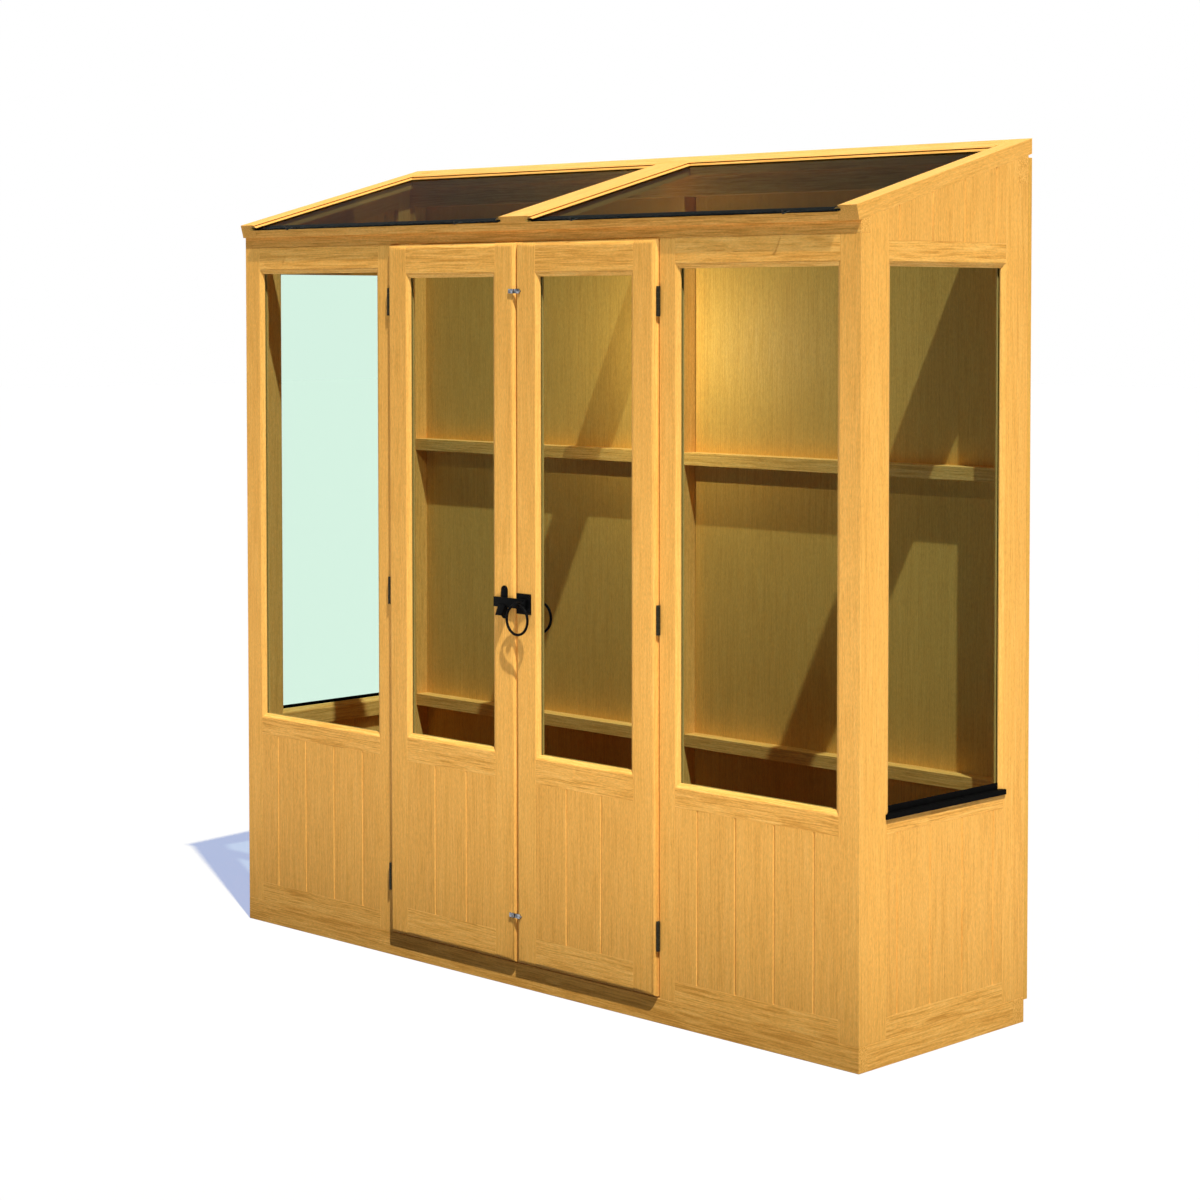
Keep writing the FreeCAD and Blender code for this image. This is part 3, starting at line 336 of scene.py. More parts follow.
@dataclass(frozen=True)
class GlassFinish:
    """Clear horticultural glass with a faint green body, which holds back part of the light that enters."""

    name: str
    passes: Colour
    edge_on: Colour
    sunlight: Colour
    daylight: Colour
    mirror_ior: float = 1.008
    slants: tuple[float, float] = (0.5, 0.85)
    smears: tuple[float, float] = (0.01, 0.06)

    def material(self) -> bpy.types.Material:
        """Builds the material, in which each of a pane's two faces takes half of the tint."""
        g = NodeGraph(self.name)
        place = g.add("TexCoord").outputs["Object"]
        ripple = g.bump(g.noise(place, 3.0, 1.0), 0.05, 0.004)
        smear = g.remap(g.noise(place, 14.0, 3.0), 0.35, 0.7, *self.smears)
        path = g.add("LightPath").outputs
        slant = g.remap(g.add("LayerWeight", {"Blend": 0.5}).outputs["Facing"], *self.slants, 0.0, 1.0)
        body = g.add("BsdfTransparent", {"Color": self.passes})
        for share, tint in ((slant, self.edge_on), (path["Is Diffuse Ray"], self.daylight),
                            (path["Is Shadow Ray"], self.sunlight)):
            body = self.mix(g, share, body, g.add("BsdfTransparent", {"Color": tint}))
        outside = g.maths("SUBTRACT", 1.0, g.add("NewGeometry").outputs["Backfacing"])
        mirror = g.add("Fresnel", {"IOR": self.mirror_ior}).outputs["Fac"]
        gloss = g.add("BsdfGlossy", {"Roughness": smear, "Normal": ripple})
        return g.surface(self.mix(g, g.maths("MULTIPLY", mirror, outside), body, gloss))

    @staticmethod
    def mix(
        g: NodeGraph, share: bpy.types.NodeSocket, under: bpy.types.Node, over: bpy.types.Node
    ) -> bpy.types.Node:
        """Mixes two shaders."""
        mixed = g.add("MixShader", {"Fac": share})
        g.put(mixed.inputs[1], under.outputs[0])
        g.put(mixed.inputs[2], over.outputs[0])
        return mixed


@dataclass(frozen=True)
class MetalFinish:
    """Metal or its coating, with a mottled colour, an uneven gloss and a slightly beaten surface."""

    name: str
    deep: Colour
    raised: Colour
    metallic: float
    gloss: tuple[float, float]
    grain_size: float
    beaten: float
    specular: float = 0.15

    def material(self) -> bpy.types.Material:
        """Builds the material on the piece's own coordinates."""
        g = NodeGraph(self.name)
        place = g.add("TexCoord").outputs["Object"]
        mottle_and_painted_glints = g.noise(place, 1.0 / self.grain_size, 3.0, 0.6)
        fine = g.noise(place, 6.0 / self.grain_size, 2.0, 0.6)
        # On the zinc this mottle also paints glints and dark reflections.
        colour = g.ramp(g.remap(mottle_and_painted_glints, 0.32, 0.68, 0.0, 1.0), [(0.0, self.deep), (1.0, self.raised)])
        height = g.maths("ADD", mottle_and_painted_glints, g.maths("MULTIPLY", fine, 0.35))
        shader = g.add(
            "BsdfPrincipled",
            {
                "Base Color": colour, "Metallic": self.metallic, "Specular IOR Level": self.specular,
                "Roughness": g.remap(fine, 0.3, 0.7, *self.gloss),
                "Normal": g.bump(height, self.beaten, 0.0012),
            },
        )
        return g.surface(shader)


@dataclass(frozen=True)
class PlasticFinish:
    """Extruded plastic: fine lines along the strip and a satin gloss."""

    name: str
    colour: Colour
    dusty: Colour
    lines: Scale
    specular: float = 0.02

    def material(self) -> bpy.types.Material:
        """Builds the material on the piece's own coordinates."""
        g = NodeGraph(self.name)
        place = g.add("TexCoord").outputs["Object"]
        drawn = g.noise(g.stretched(place, self.lines), 1.0, 2.0, 0.5)
        dust = g.noise(place, 60.0, 4.0, 0.65)
        colour = g.blend(g.remap(dust, 0.45, 0.75, 0.0, 0.5), self.colour, self.dusty)
        shader = g.add(
            "BsdfPrincipled",
            {
                "Base Color": colour, "Roughness": g.remap(dust, 0.3, 0.7, 0.5, 0.65),
                "Specular IOR Level": self.specular,
                "Normal": g.bump(drawn, 0.12, 0.0005),
            },
        )
        return g.surface(shader)


class Finishes:
    """The finishes of the whole object, each made into a material once."""

    frame_timber = WoodFinish(
        "oiled_frame_timber", shade(214, 151, 64), shade(240, 178, 85), shade(250, 194, 102)
    )
    board_timber = WoodFinish(
        "oiled_board_timber", shade(211, 148, 62), shade(238, 176, 84), shade(249, 192, 100)
    )
    # A darker, less red copy of the board timber for the back boards: its colours paint the shade that lies
    # inside the house.
    back_timber_painted_shade = WoodFinish(
        "oiled_back_timber_painted_shade", shade(205, 150, 64), shade(227, 171, 77), shade(237, 184, 89)
    )
    # A lighter copy of the frame timber: its paler colours paint the highlight that the sun puts on the
    # beads' sloping faces.
    bead_timber = WoodFinish(
        "oiled_bead_timber_painted_highlight", shade(224, 160, 70), shade(246, 186, 91), shade(253, 202, 110)
    )
    glass = GlassFinish(
        "greenhouse_pane_glass", passes=(0.905, 0.971, 0.934, 1.0), edge_on=(0.55, 0.59, 0.57, 1.0),
        sunlight=(0.655, 0.725, 0.8, 1.0), daylight=(0.3, 0.42, 0.58, 1.0),
    )
    iron = MetalFinish(
        "black_painted_iron", deep=(0.001, 0.001, 0.0011, 1.0), raised=(0.003, 0.003, 0.0031, 1.0),
        metallic=0.0, gloss=(0.42, 0.62), grain_size=0.006, beaten=0.35, specular=0.04,
    )
    hinge_steel = MetalFinish(
        "dark_hinge_steel", deep=(0.009, 0.008, 0.003, 1.0), raised=(0.024, 0.02, 0.008, 1.0),
        metallic=0.0, gloss=(0.45, 0.62), grain_size=0.004, beaten=0.1,
    )
    # The wide gap between deep and raised makes a mottle that is partly the zinc's spangle and partly
    # painted glints and painted dark reflections.
    zinc_and_painted_glints = MetalFinish(
        "zinc_mottle_and_painted_glints", deep=(0.05, 0.055, 0.065, 1.0), raised=(0.5, 0.52, 0.55, 1.0),
        metallic=1.0, gloss=(0.2, 0.36), grain_size=0.008, beaten=0.08,
    )
    clip_steel = MetalFinish(
        "dark_clip_steel", deep=(0.016, 0.013, 0.009, 1.0), raised=(0.05, 0.042, 0.032, 1.0),
        metallic=0.5, gloss=(0.35, 0.55), grain_size=0.004, beaten=0.1,
    )
    plastic = PlasticFinish(
        "black_strip", colour=(0.0015, 0.0015, 0.0014, 1.0), dusty=(0.006, 0.0055, 0.005, 1.0),
        lines=(30.0, 400.0, 400.0),
    )

    def __init__(self) -> None:
        """Starts with no material made."""
        self.made: dict[str, bpy.types.Material] = {}

    def use(self, finish: WoodFinish | GlassFinish | MetalFinish | PlasticFinish) -> bpy.types.Material:
        """Returns a finish's material, which is made on its first use."""
        if finish.name not in self.made:
            self.made[finish.name] = finish.material()
        return self.made[finish.name]


finishes = Finishes()
BODY_OF = {node: body for body, nodes in frame["record"]["behaviour"]["bodies"].items() for node in nodes}


def merged_copy(node: str) -> bmesh.types.BMesh:
    """Copies a CAD node's mesh and joins its loose triangles into whole faces.

    Args:
        node: The CAD node's name.

    Returns:
        The copy.
    """
    bm = bmesh.new()
    bm.from_mesh(frame["nodes"][node].data)
    bmesh.ops.remove_doubles(bm, verts=bm.verts, dist=MERGE_DISTANCE)
    part_solids(bm)
    bmesh.ops.dissolve_limit(bm, angle_limit=math.radians(FLAT_TURN), verts=bm.verts, edges=bm.edges)
    return bm


def part_solids(bm: bmesh.types.BMesh) -> None:
    """Takes apart solids whose touching corners or edges the merge has joined.

    Args:
        bm: The merged mesh.
    """
    seen: set[bmesh.types.BMFace] = set()
    groups = []
    for start in bm.faces:
        if start in seen:
            continue
        seen.add(start)
        group = [start]
        for face in group:
            for edge in face.edges:
                if len(edge.link_faces) != 2:
                    continue
                for other in edge.link_faces:
                    if other not in seen:
                        seen.add(other)
                        group.append(other)
        groups.append(group)
    for group in groups[1:]:
        bmesh.ops.split(bm, geom=group, use_only_faces=True)


def ease_edges(bm: bmesh.types.BMesh, size: float) -> None:
    """Rounds the outer arrises of a mesh and marks the new faces in its arris attribute.

    Args:
        bm: The mesh.
        size: How far the rounding reaches from each edge.
    """
    mark = bm.faces.layers.float.new("arris")
    for face in round_over(bm, size, ARRIS_SEGMENTS, ARRIS_TURN, 180.0):
        face[mark] = 1.0


def round_over(
    bm: bmesh.types.BMesh, size: float, segments: int, sharper_than: float, blunter_than: float
) -> list[bmesh.types.BMFace]:
    """Rounds the outer edges of a mesh that turn by an angle in a range.

    Args:
        bm: The mesh.
        size: How far the rounding reaches from each edge.
        segments: How many faces round each edge.
        sharper_than: The least turn, in degrees.
        blunter_than: The greatest turn, in degrees.

    Returns:
        The new faces.
    """
    least, most = math.radians(sharper_than), math.radians(blunter_than)
    chosen = [edge for edge in bm.edges
              if edge.is_manifold and least < edge.calc_face_angle_signed() < most]
    return bmesh.ops.bevel(
        bm, geom=chosen, offset=size, offset_type="OFFSET", segments=segments, profile=0.5, affect="EDGES",
        clamp_overlap=False, material=-1,
    )["faces"]


def islands(bm: bmesh.types.BMesh) -> list[list[bmesh.types.BMVert]]:
    """Splits a mesh into the separate solids that it holds.

    Args:
        bm: The mesh.

    Returns:
        The vertices of each solid.
    """
    seen: set[bmesh.types.BMVert] = set()
    groups = []
    for start in bm.verts:
        if start in seen:
            continue
        seen.add(start)
        group = [start]
        for vert in group:
            for edge in vert.link_edges:
                other = edge.other_vert(vert)
                if other not in seen:
                    seen.add(other)
                    group.append(other)
        groups.append(group)
    return groups


def box_of(verts: list[bmesh.types.BMVert]) -> tuple[Vector, Vector]:
    """Returns the lowest and highest corners of some vertices."""
    low = Vector([min(vert.co[axis] for vert in verts) for axis in range(3)])
    high = Vector([max(vert.co[axis] for vert in verts) for axis in range(3)])
    return low, high


def lay_grain(bm: bmesh.types.BMesh, grain: Grain, seed: str) -> None:
    """Gives each solid of a mesh its own stretch of grain and its own tone.

    Args:
        bm: The mesh.
        grain: Which way the fibres run.
        seed: What the random stretch of grain starts from.
    """
    chance = random.Random(seed)
    place = bm.verts.layers.float_vector.new("grain")
    bold = bm.verts.layers.float.new("bold")
    tone = bm.verts.layers.float.new("tone")
    for group in islands(bm):
        run = grain
        if grain is Grain.LONGEST:
            low, high = box_of(group)
            size = high - low
            run = (Grain.WIDE, Grain.DEEP, Grain.UPRIGHT)[max(range(3), key=lambda axis: size[axis])]
        shift = Vector([chance.uniform(0.0, GRAIN_RANGE) for _ in range(3)])
        hue = chance.random()
        for vert in group:
            vert[place] = Vector([vert.co.dot(axis) for axis in GRAIN_AXES[run]]) + shift
            vert[bold] = LEVEL_BOLDNESS if run in (Grain.WIDE, Grain.DEEP) else UPRIGHT_BOLDNESS
            vert[tone] = hue


def add_piece(
    bm: bmesh.types.BMesh, name: str, material: bpy.types.Material, nodes: list[str],
    smooth: float | None = None,
) -> bpy.types.Object:
    """Makes a mesh into a piece that stands for CAD nodes and moves with their body.

    Args:
        bm: The mesh, which is freed.
        name: The piece's name.
        material: Its finish.
        nodes: The CAD nodes that it replaces, all on one body.
        smooth: The sharpest turn, in degrees, that is shaded smooth, or None for flat faces.

    Returns:
        The piece.
    """
    mesh = bpy.data.meshes.new(name)
    bm.to_mesh(mesh)
    bm.free()
    mesh.materials.append(material)
    if smooth is not None:
        mesh.shade_smooth()
        mesh.set_sharp_from_angle(angle=math.radians(smooth))
    piece = bpy.data.objects.new(name, mesh)
    bpy.context.scene.collection.objects.link(piece)
    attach(piece, BODY_OF[nodes[0]])
    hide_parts(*nodes)
    log.info("%s: %d faces on %s", name, len(mesh.polygons), BODY_OF[nodes[0]])
    return piece


@dataclass
class Timberwork:
    """Timbers of one sub-assembly, by the way that their grain runs."""

    runs: dict[str, Grain]
    finish: WoodFinish = Finishes.frame_timber
    ease: float = 0.0008
    moulded: float = 0.0

    def dress(self) -> None:
        """Turns each CAD node into eased timbers with a grain, their blunt edges rounded if moulded."""
        for node, grain in self.runs.items():
            bm = merged_copy(node)
            if self.moulded:
                round_over(bm, self.moulded, MOULDED_SEGMENTS, *MOULDED_TURNS)
            ease_edges(bm, self.ease)
            lay_grain(bm, grain, node)
            add_piece(bm, node + "_dressed", finishes.use(self.finish), [node])


@dataclass
class FixedFrame:
    """The standing frame: base, front, sides and back, without its boards and beads."""

    timbers: Timberwork = field(default_factory=lambda: Timberwork({
        "base_rails": Grain.LONGEST,
        "front_head_rail": Grain.WIDE,
        "left_corner_stile": Grain.UPRIGHT,
        "right_corner_stile": Grain.UPRIGHT,
        "left_door_jamb": Grain.UPRIGHT,
        "right_door_jamb": Grain.UPRIGHT,
        "front_rails": Grain.WIDE,
        "side_stiles": Grain.UPRIGHT,
        "side_rails": Grain.DEEP,
        "raked_rails": Grain.SLOPE,
        "back_posts": Grain.UPRIGHT,
        "back_rails": Grain.WIDE,
    }))

    def build(self) -> None:
        """Dresses the frame's timbers."""
        self.timbers.dress()


@dataclass
class Cladding:
    """Tongued and grooved boards of the front, the sides and the back."""

    boards: Timberwork = field(default_factory=lambda: Timberwork(
        {
            name: Grain.UPRIGHT
            for name in ("left_front_boards", "right_front_boards", "left_side_boards", "right_side_boards")
        },
        Finishes.board_timber,
        ease=0.0005,
    ))
    # The back boards take the darker copy of the board timber, which paints the shade inside the house.
    back: Timberwork = field(default_factory=lambda: Timberwork(
        {"back_boards": Grain.UPRIGHT}, Finishes.back_timber_painted_shade, ease=0.0001
    ))

    def build(self) -> None:
        """Dresses the boards."""
        self.boards.dress()
        self.back.dress()


@dataclass
class Roof:
    """The moulded roof rails, the black seals under the panes at the eave and the clips that hold them."""

    rails: Timberwork = field(default_factory=lambda: Timberwork(
        {
            "roof_left_rail": Grain.SLOPE,
            "roof_right_rail": Grain.SLOPE,
            "roof_centre_rail": Grain.SLOPE,
            "roof_back_rail": Grain.WIDE,
            "roof_front_rail": Grain.WIDE,
        },
        ease=0.0004,
        moulded=0.003,
    ))
    seal_ease: float = 0.0001
    clip_ease: float = 0.0003

    def build(self) -> None:
        """Dresses the rails, seals and clips."""
        self.rails.dress()
        bm = merged_copy("roof_eave_strips")
        ease_edges(bm, self.seal_ease)
        add_piece(bm, "eave_seals_dressed", finishes.use(Finishes.plastic), ["roof_eave_strips"])
        bm = merged_copy("roof_pane_clips")
        ease_edges(bm, self.clip_ease)
        clip_steel = finishes.use(Finishes.clip_steel)
        add_piece(bm, "pane_clips_dressed", clip_steel, ["roof_pane_clips"], FORGED_SMOOTH)


@dataclass
class Glazing:
    """The panes, the beads round them and the black sill bars under the side windows."""

    panes: tuple[str, ...] = (
        "front_panes", "side_panes", "roof_panes", "left_door_pane", "right_door_pane"
    )
    # The beads take the lighter copy of the timber, which paints their sunlit highlight.
    beads: Timberwork = field(default_factory=lambda: Timberwork(
        {
            name: Grain.LONGEST
            for name in ("front_beads", "side_beads", "left_door_beads", "right_door_beads")
        },
        Finishes.bead_timber,
        ease=0.0012,
    ))
    sill_ease: float = 0.0006

    def build(self) -> None:
        """Gives the panes their glass and dresses the beads and sill bars."""
        for node in self.panes:
            mesh = frame["nodes"][node].data
            mesh.materials.clear()
            mesh.materials.append(finishes.use(Finishes.glass))
            log.info("%s: glass", node)
        self.beads.dress()
        bm = merged_copy("side_sill_bars")
        ease_edges(bm, self.sill_ease)
        add_piece(bm, "sill_bars_dressed", finishes.use(Finishes.plastic), ["side_sill_bars"])


@dataclass
class DoorLeaf:
    """One door: stiles, rails and boards."""

    side: str
    ease: float = 0.0008
    board_ease: float = 0.0005

    def build(self) -> None:
        """Dresses the door's timbers."""
        door = f"{self.side}_door"
        Timberwork({
            f"{door}_hinge_stile": Grain.UPRIGHT,
            f"{door}_lock_stile": Grain.UPRIGHT,
            f"{door}_rails": Grain.WIDE,
        }, ease=self.ease).dress()
        Timberwork({f"{door}_boards": Grain.UPRIGHT}, Finishes.board_timber, self.board_ease).dress()


@dataclass
class Screws:
    """Countersunk screws with a cross recess, black round the latch and bright elsewhere.

    The recess is sized in shares of the head's radius.
    """

    sides: int = 24
    slot_width: float = 0.17
    slot_length: float = 0.52
    slot_depth: float = 0.5
    slot_taper: float = 0.6
    tip_taper: float = 0.8
    black_near: Vector = field(default_factory=lambda: Vector((0.0, -0.26, 0.868)))
    black_within: float = 0.12
    end_depth: float = 1e-4
    smooth: float = 35.0

    def head_outline(self, bm: bmesh.types.BMesh, radius: float) -> list[bmesh.types.BMEdge]:
        """Draws the cross recess as a closed loop.

        Args:
            bm: The mesh to draw in.
            radius: The head's radius.

        Returns:
            The loop's edges.
        """
        wide, far = self.slot_width * radius, self.slot_length * radius
        quarter = [(far, wide), (wide, wide), (wide, far)]
        verts = []
        for turn in range(4):
            spin = Matrix.Rotation(turn * math.pi / 2, 4, "Z")
            verts += [bm.verts.new(spin @ Vector((x, y, 0.0))) for x, y in quarter]
        return [bm.edges.new((vert, verts[(i + 1) % len(verts)])) for i, vert in enumerate(verts)]

    def one(self, tip: Vector, head: Vector, head_radius: float, shank_radius: float) -> bmesh.types.BMesh:
        """Models one screw.

        Args:
            tip: The middle of its far end.
            head: The middle of its head's face.
            head_radius: The head's radius.
            shank_radius: The shank's radius.

        Returns:
            The screw's mesh, in place.
        """
        bm = bmesh.new()
        rim = bmesh.ops.create_circle(bm, segments=self.sides, radius=head_radius)["verts"]
        rim_edges = list({edge for vert in rim for edge in vert.link_edges})
        cross_edges = self.head_outline(bm, head_radius)
        bmesh.ops.triangle_fill(bm, use_beauty=True, edges=rim_edges + cross_edges)
        self.pull(bm, cross_edges, self.slot_depth * head_radius, self.slot_taper)
        neck = head_radius - shank_radius
        cone = self.pull(bm, rim_edges, neck, shank_radius / head_radius, close=False)
        self.pull(bm, cone, (head - tip).length - neck, self.tip_taper)
        bmesh.ops.recalc_face_normals(bm, faces=bm.faces)
        turn = Vector((0, 0, 1)).rotation_difference((head - tip).normalized()).to_matrix().to_4x4()
        bmesh.ops.transform(bm, matrix=Matrix.Translation(head) @ turn, verts=bm.verts)
        return bm

    @staticmethod
    def pull(
        bm: bmesh.types.BMesh, edges: list[bmesh.types.BMEdge], depth: float, shrink: float,
        close: bool = True,
    ) -> list[bmesh.types.BMEdge]:
        """Pulls a loop of edges down into a tapered wall.

        Args:
            bm: The mesh.
            edges: The loop.
            depth: How far it goes down.
            shrink: The size of its lower end beside its upper end.
            close: Whether the lower end gets a face.

        Returns:
            The edges of the lower end.
        """
        new = bmesh.ops.extrude_edge_only(bm, edges=edges)["geom"]
        verts = [item for item in new if isinstance(item, bmesh.types.BMVert)]
        lower = [edge for edge in new if isinstance(edge, bmesh.types.BMEdge) and
                 all(vert in verts for vert in edge.verts)]
        bmesh.ops.scale(bm, vec=(shrink, shrink, 1.0), verts=verts)
        bmesh.ops.translate(bm, vec=(0.0, 0.0, -depth), verts=verts)
        if close:
            bmesh.ops.edgeloop_fill(bm, edges=lower)
        return lower

    def build(self, node: str) -> None:
        """Replaces every screw of a CAD node.

        Args:
            node: The CAD node that holds the screws.
        """
        solids = merged_copy(node)
        whole = bpy.data.meshes.new(node + "_screws")
        bm = bmesh.new()
        for group in islands(solids):
            low, high = box_of(group)
            size = high - low
            axis = max(range(3), key=lambda i: size[i])
            middle = (low + high) / 2
            ends = []
            for level in (low[axis], high[axis]):
                near = [vert for vert in group if abs(vert.co[axis] - level) < self.end_depth]
                spot = middle.copy()
                spot[axis] = level
                ends.append((max((vert.co - spot).length for vert in near), spot))
            (thin, tip), (wide, head) = sorted(ends, key=lambda end: end[0])
            screw = self.one(tip, head, wide, thin)
            black = (head - self.black_near).length < self.black_within
            for face in screw.faces:
                face.material_index = int(black)
            screw.to_mesh(whole)
            screw.free()
            bm.from_mesh(whole)
        solids.free()
        bpy.data.meshes.remove(whole)
        piece = add_piece(bm, node + "_dressed", finishes.use(Finishes.zinc_and_painted_glints), [node], self.smooth)
        piece.data.materials.append(finishes.use(Finishes.iron))


@dataclass
class RingLatch:
    """The ring latch: plates, turning bar, two rings and the keeper on the other door."""

    plate_ease: float = 0.0006
    bar_ease: float = 0.0006
    ring_sides: int = 16
    ring_steps: int = 72
    ring_merge: float = 1e-6
    ring_smooth: float = 60.0

    def forged(self, node: str, ease: float) -> None:
        """Replaces a CAD node by the same shape with its arrises rounded.

        Args:
            node: The CAD node.
            ease: How far the rounding reaches.
        """
        bm = merged_copy(node)
        ease_edges(bm, ease)
        add_piece(bm, node + "_dressed", finishes.use(Finishes.iron), [node], FORGED_SMOOTH)

    def ring(self, node: str) -> None:
        """Bends a round wire into the ring that a CAD node holds.

        Args:
            node: The CAD node.
        """
        low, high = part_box(node)
        middle, size = (low + high) / 2, high - low
        wire = size.y / 2
        bm = bmesh.new()
        profile = bmesh.ops.create_circle(bm, segments=self.ring_sides, radius=wire)["verts"]
        bmesh.ops.translate(bm, vec=middle + Vector((size.x / 2 - wire, 0, 0)), verts=profile)
        bmesh.ops.spin(bm, geom=bm.verts[:] + bm.edges[:], cent=middle, axis=(0, 1, 0), angle=2 * math.pi,
                       steps=self.ring_steps, use_merge=True)
        bmesh.ops.remove_doubles(bm, verts=bm.verts, dist=self.ring_merge)
        bmesh.ops.recalc_face_normals(bm, faces=bm.faces)
        add_piece(bm, node + "_dressed", finishes.use(Finishes.iron), [node], self.ring_smooth)

    def build(self) -> None:
        """Forges the latch's pieces."""
        self.forged("latch_plates", self.plate_ease)
        self.forged("latch_bar", self.bar_ease)
        self.forged("latch_keeper", self.bar_ease)
        self.ring("outer_ring")
        self.ring("inner_ring")


@dataclass
class Hardware:
    """Hinges, pins and the two bolts across the doors."""

    hinge_ease: float = 0.0003
    bolt_ease: float = 0.0004
    hinges: tuple[str, ...] = (
        "left_hinge_leaves", "right_hinge_leaves", "frame_hinge_leaves", "hinge_pins"
    )
    bolts: tuple[str, ...] = ("top_bolt", "bottom_bolt", "bolt_cases", "bolt_keeps")

    def build(self) -> None:
        """Rounds and finishes each piece."""
        for names, ease, finish in (
            (self.hinges, self.hinge_ease, Finishes.hinge_steel),
            (self.bolts, self.bolt_ease, Finishes.zinc_and_painted_glints),
        ):
            for node in names:
                bm = merged_copy(node)
                ease_edges(bm, ease)
                add_piece(bm, node + "_dressed", finishes.use(finish), [node], FORGED_SMOOTH)


@dataclass
class Studio:
    """A plain white floor, a sun-like key light, a soft fill, a small lamp inside and an even surround.

    The sheet that throws light up from the floor starts, is full and ends at distances from the object, and
    sheet_fades is the share of its reach at which it starts to fade.
    """

    floor_size: float = 80.0
    sun_place: Vector = field(default_factory=lambda: Vector((3.0, -2.0, 6.0)))
    sun_way: Vector = field(default_factory=lambda: Vector((-1.9, 1.0, -3.8)))
    sun_strength: float = 5.2
    sun_angle: float = 0.8
    sky_strength: float = 0.08
    fill_place: Vector = field(default_factory=lambda: Vector((0.6, -1.26, 0.82)))
    fill_size: float = 0.6
    fill_power: float = 2.4
    lamp_place: Vector = field(default_factory=lambda: Vector((0.0, -0.011, 1.438)))
    lamp_size: float = 0.006
    lamp_power: float = 4.4
    lamp_cone: float = 172.0
    lamp_colour: tuple[float, float, float] = (1.0, 0.94, 0.82)
    floor_seen: Colour = (0.391, 0.342, 0.185, 1.0)
    shadow_glow: Colour = (0.41, 0.485, 0.72, 1.0)
    sheet_white: float = 0.95
    sheet_from: float = 0.32
    sheet_full: float = 0.8
    sheet_fades: float = 0.8
    sheet_to: float = 3.5

    def sheet(self, g: NodeGraph) -> bpy.types.NodeSocket:
        """Draws the reflecting sheet that lies round the object and throws light up at its walls.

        Args:
            g: The floor's nodes.

        Returns:
            The colour that the floor reflects.
        """
        low, high = (Vector(corner) for corner in cad_box)
        middle, half = (low + high) / 2, (high - low) / 2
        spot = g.add("TexCoord").outputs["Object"]
        for operation, value in (
            ("SUBTRACT", (middle.x, middle.y, 0.0)), ("ABSOLUTE", None),
            ("SUBTRACT", (half.x, half.y, 0.0)), ("MAXIMUM", (0.0, 0.0, 0.0)),
        ):
            step = g.add("VectorMath", operation=operation)
            g.put(step.inputs[0], spot)
            if value:
                g.put(step.inputs[1], value)
            spot = step.outputs["Vector"]
        length = g.add("VectorMath", {"Vector": spot}, operation="LENGTH").outputs["Value"]
        reach = g.maths("DIVIDE", length, self.sheet_to)
        dark, white = (0.0, 0.0, 0.0, 1.0), (self.sheet_white,) * 3 + (1.0,)
        near, full = self.sheet_from / self.sheet_to, self.sheet_full / self.sheet_to
        return g.ramp(reach, [(near, dark), (full, white), (self.sheet_fades, white), (1.0, dark)])

    def floor(self) -> None:
        """Lays the floor, which shows the object's shadow."""
        bm = bmesh.new()
        bmesh.ops.create_grid(bm, x_segments=1, y_segments=1, size=self.floor_size / 2)
        mesh = bpy.data.meshes.new("floor")
        bm.to_mesh(mesh)
        bm.free()
        g = NodeGraph("white_floor")
        path = g.add("LightPath").outputs
        seen = path["Is Camera Ray"]
        for name in ("Is Glossy Ray", "Is Transmission Ray"):
            seen = g.maths("MAXIMUM", seen, path[name])
        matt = g.add("BsdfDiffuse", {"Color": g.blend(seen, self.sheet(g), self.floor_seen)})
        glow = g.add("Emission", {"Color": self.shadow_glow, "Strength": seen})
        both = g.add("AddShader")
        g.put(both.inputs[0], matt.outputs[0])
        g.put(both.inputs[1], glow.outputs[0])
        mesh.materials.append(g.surface(both))
        floor = bpy.data.objects.new("floor", mesh)
        bpy.context.scene.collection.objects.link(floor)

    def sky(self) -> None:
        """Surrounds the scene with even light, which looks white."""
        world = bpy.data.worlds.new("surround")
        bpy.context.scene.world = world
        world.use_nodes = True
        tree = world.node_tree
        tree.nodes.clear()
        path = tree.nodes.new("ShaderNodeLightPath")
        light, white = tree.nodes.new("ShaderNodeBackground"), tree.nodes.new("ShaderNodeBackground")
        light.inputs["Strength"].default_value = self.sky_strength
        light.inputs["Color"].default_value = white.inputs["Color"].default_value = (1.0, 1.0, 1.0, 1.0)
        share = path.outputs["Is Camera Ray"]
        for name in ("Is Glossy Ray", "Is Transmission Ray"):
            either = tree.nodes.new("ShaderNodeMath")
            either.operation = "MAXIMUM"
            tree.links.new(share, either.inputs[0])
            tree.links.new(path.outputs[name], either.inputs[1])
            share = either.outputs[0]
        mixed, output = tree.nodes.new("ShaderNodeMixShader"), tree.nodes.new("ShaderNodeOutputWorld")
        tree.links.new(share, mixed.inputs[0])
        tree.links.new(light.outputs[0], mixed.inputs[1])
        tree.links.new(white.outputs[0], mixed.inputs[2])
        tree.links.new(mixed.outputs[0], output.inputs["Surface"])

    def sun(self) -> None:
        """Hangs the key light."""
        lamp = bpy.data.lights.new("key_light", "SUN")
        lamp.energy = self.sun_strength
        lamp.angle = math.radians(self.sun_angle)
        key = bpy.data.objects.new("key_light", lamp)
        key.rotation_euler = self.sun_way.to_track_quat("-Z", "Y").to_euler()
        key.location = self.sun_place
        bpy.context.scene.collection.objects.link(key)

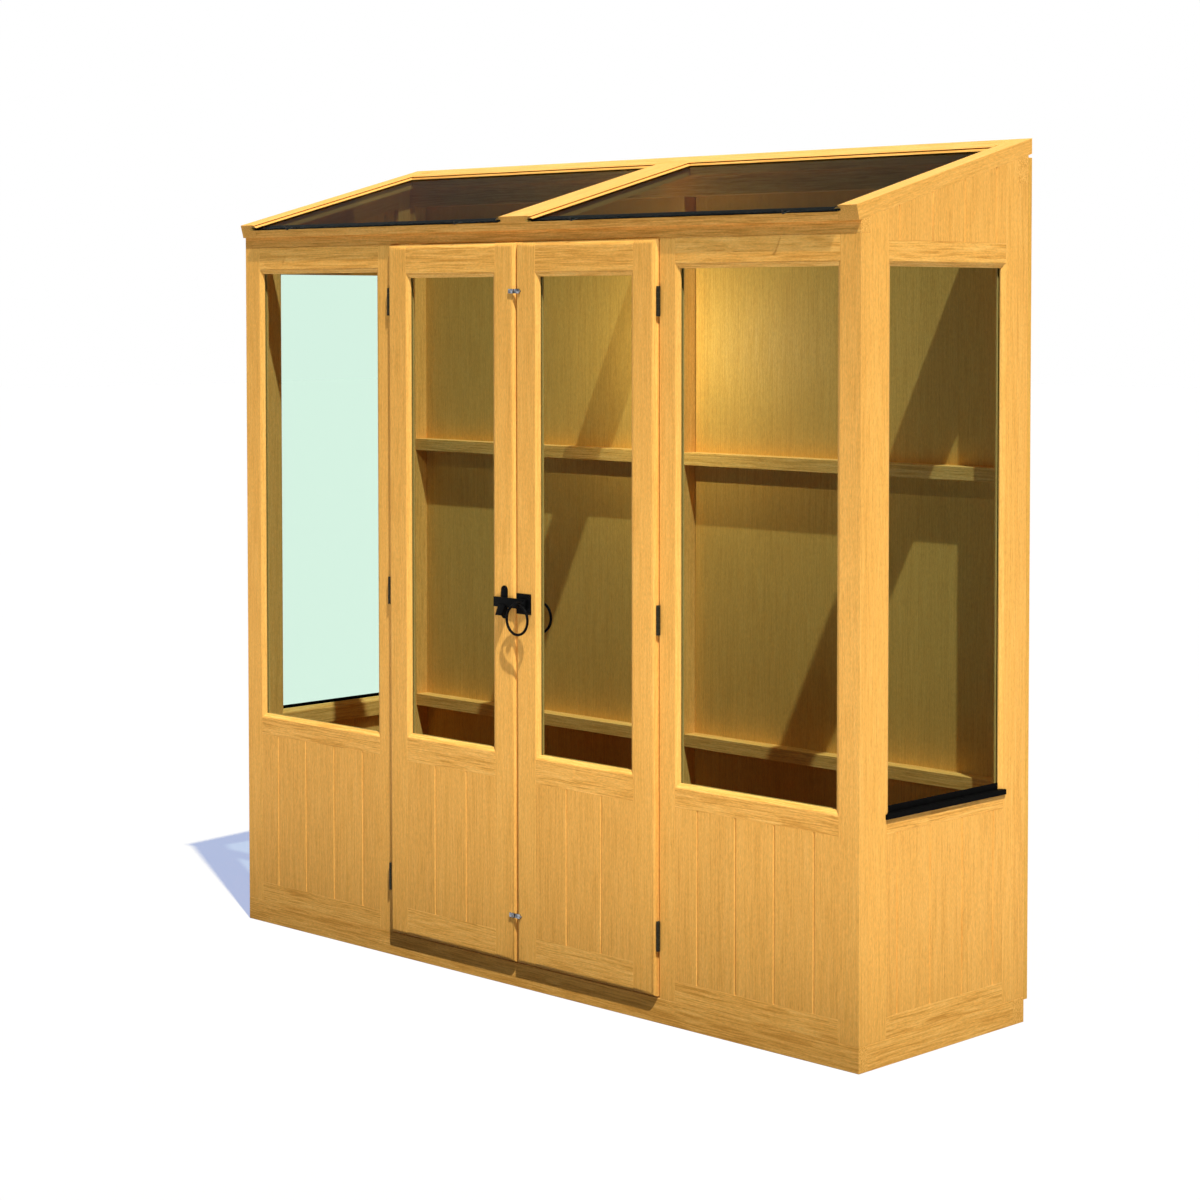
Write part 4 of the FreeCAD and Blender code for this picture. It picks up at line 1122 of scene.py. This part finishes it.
    def fill(self) -> None:
        """Hangs a soft light in front and a small lamp inside, neither of which the camera sees."""
        soft, small = bpy.data.lights.new("fill_light", "AREA"), bpy.data.lights.new("inner_lamp", "SPOT")
        soft.energy, soft.size = self.fill_power, self.fill_size
        small.energy, small.shadow_soft_size = self.lamp_power, self.lamp_size
        small.spot_size, small.spot_blend = math.radians(self.lamp_cone), 0.0
        small.color = self.lamp_colour
        for lamp, place in ((soft, self.fill_place), (small, self.lamp_place)):
            holder = bpy.data.objects.new(lamp.name, lamp)
            holder.location = place
            holder.rotation_euler = Vector((0.0, 1.0, 0.0)).to_track_quat("-Z", "Y").to_euler()
            holder.visible_camera = False
            bpy.context.scene.collection.objects.link(holder)

    def build(self) -> None:
        """Sets up the floor, the surround, the lights and plain colour management."""
        self.floor()
        self.sky()
        self.sun()
        self.fill()
        bpy.context.scene.view_settings.view_transform = "Standard"


@dataclass
class Viewpoint:
    """The camera at the photograph's angle, for a square picture."""

    place: tuple[float, float, float] = (4.3508, -4.3506, 1.5263)
    turned: float = 44.177
    tilted_down: float = 2.4
    sensor: float = 36.0
    lens: float = 80.395
    shift: tuple[float, float] = (-0.0334, -0.15)
    sees_to: float = 200.0

    def build(self) -> None:
        """Places the camera."""
        camera = bpy.data.cameras.new("camera")
        camera.sensor_width = self.sensor
        camera.lens = self.lens
        camera.shift_x, camera.shift_y = self.shift
        camera.clip_end = self.sees_to
        viewer = bpy.data.objects.new("camera", camera)
        viewer.location = self.place
        viewer.rotation_euler = (math.radians(90.0 - self.tilted_down), 0.0, math.radians(self.turned))
        bpy.context.scene.collection.objects.link(viewer)
        bpy.context.scene.camera = viewer


def main() -> None:
    """Builds every sub-assembly in order."""
    logging.basicConfig(level=logging.INFO, format="%(name)s %(message)s")
    Viewpoint().build()
    FixedFrame().build()
    Cladding().build()
    Roof().build()
    Glazing().build()
    for side in ("left", "right"):
        DoorLeaf(side).build()
    RingLatch().build()
    Hardware().build()
    screws = Screws()
    for node in ("frame_screws", "left_screws", "right_screws"):
        screws.build(node)
    Studio().build()


if __name__ == "__main__":
    main()
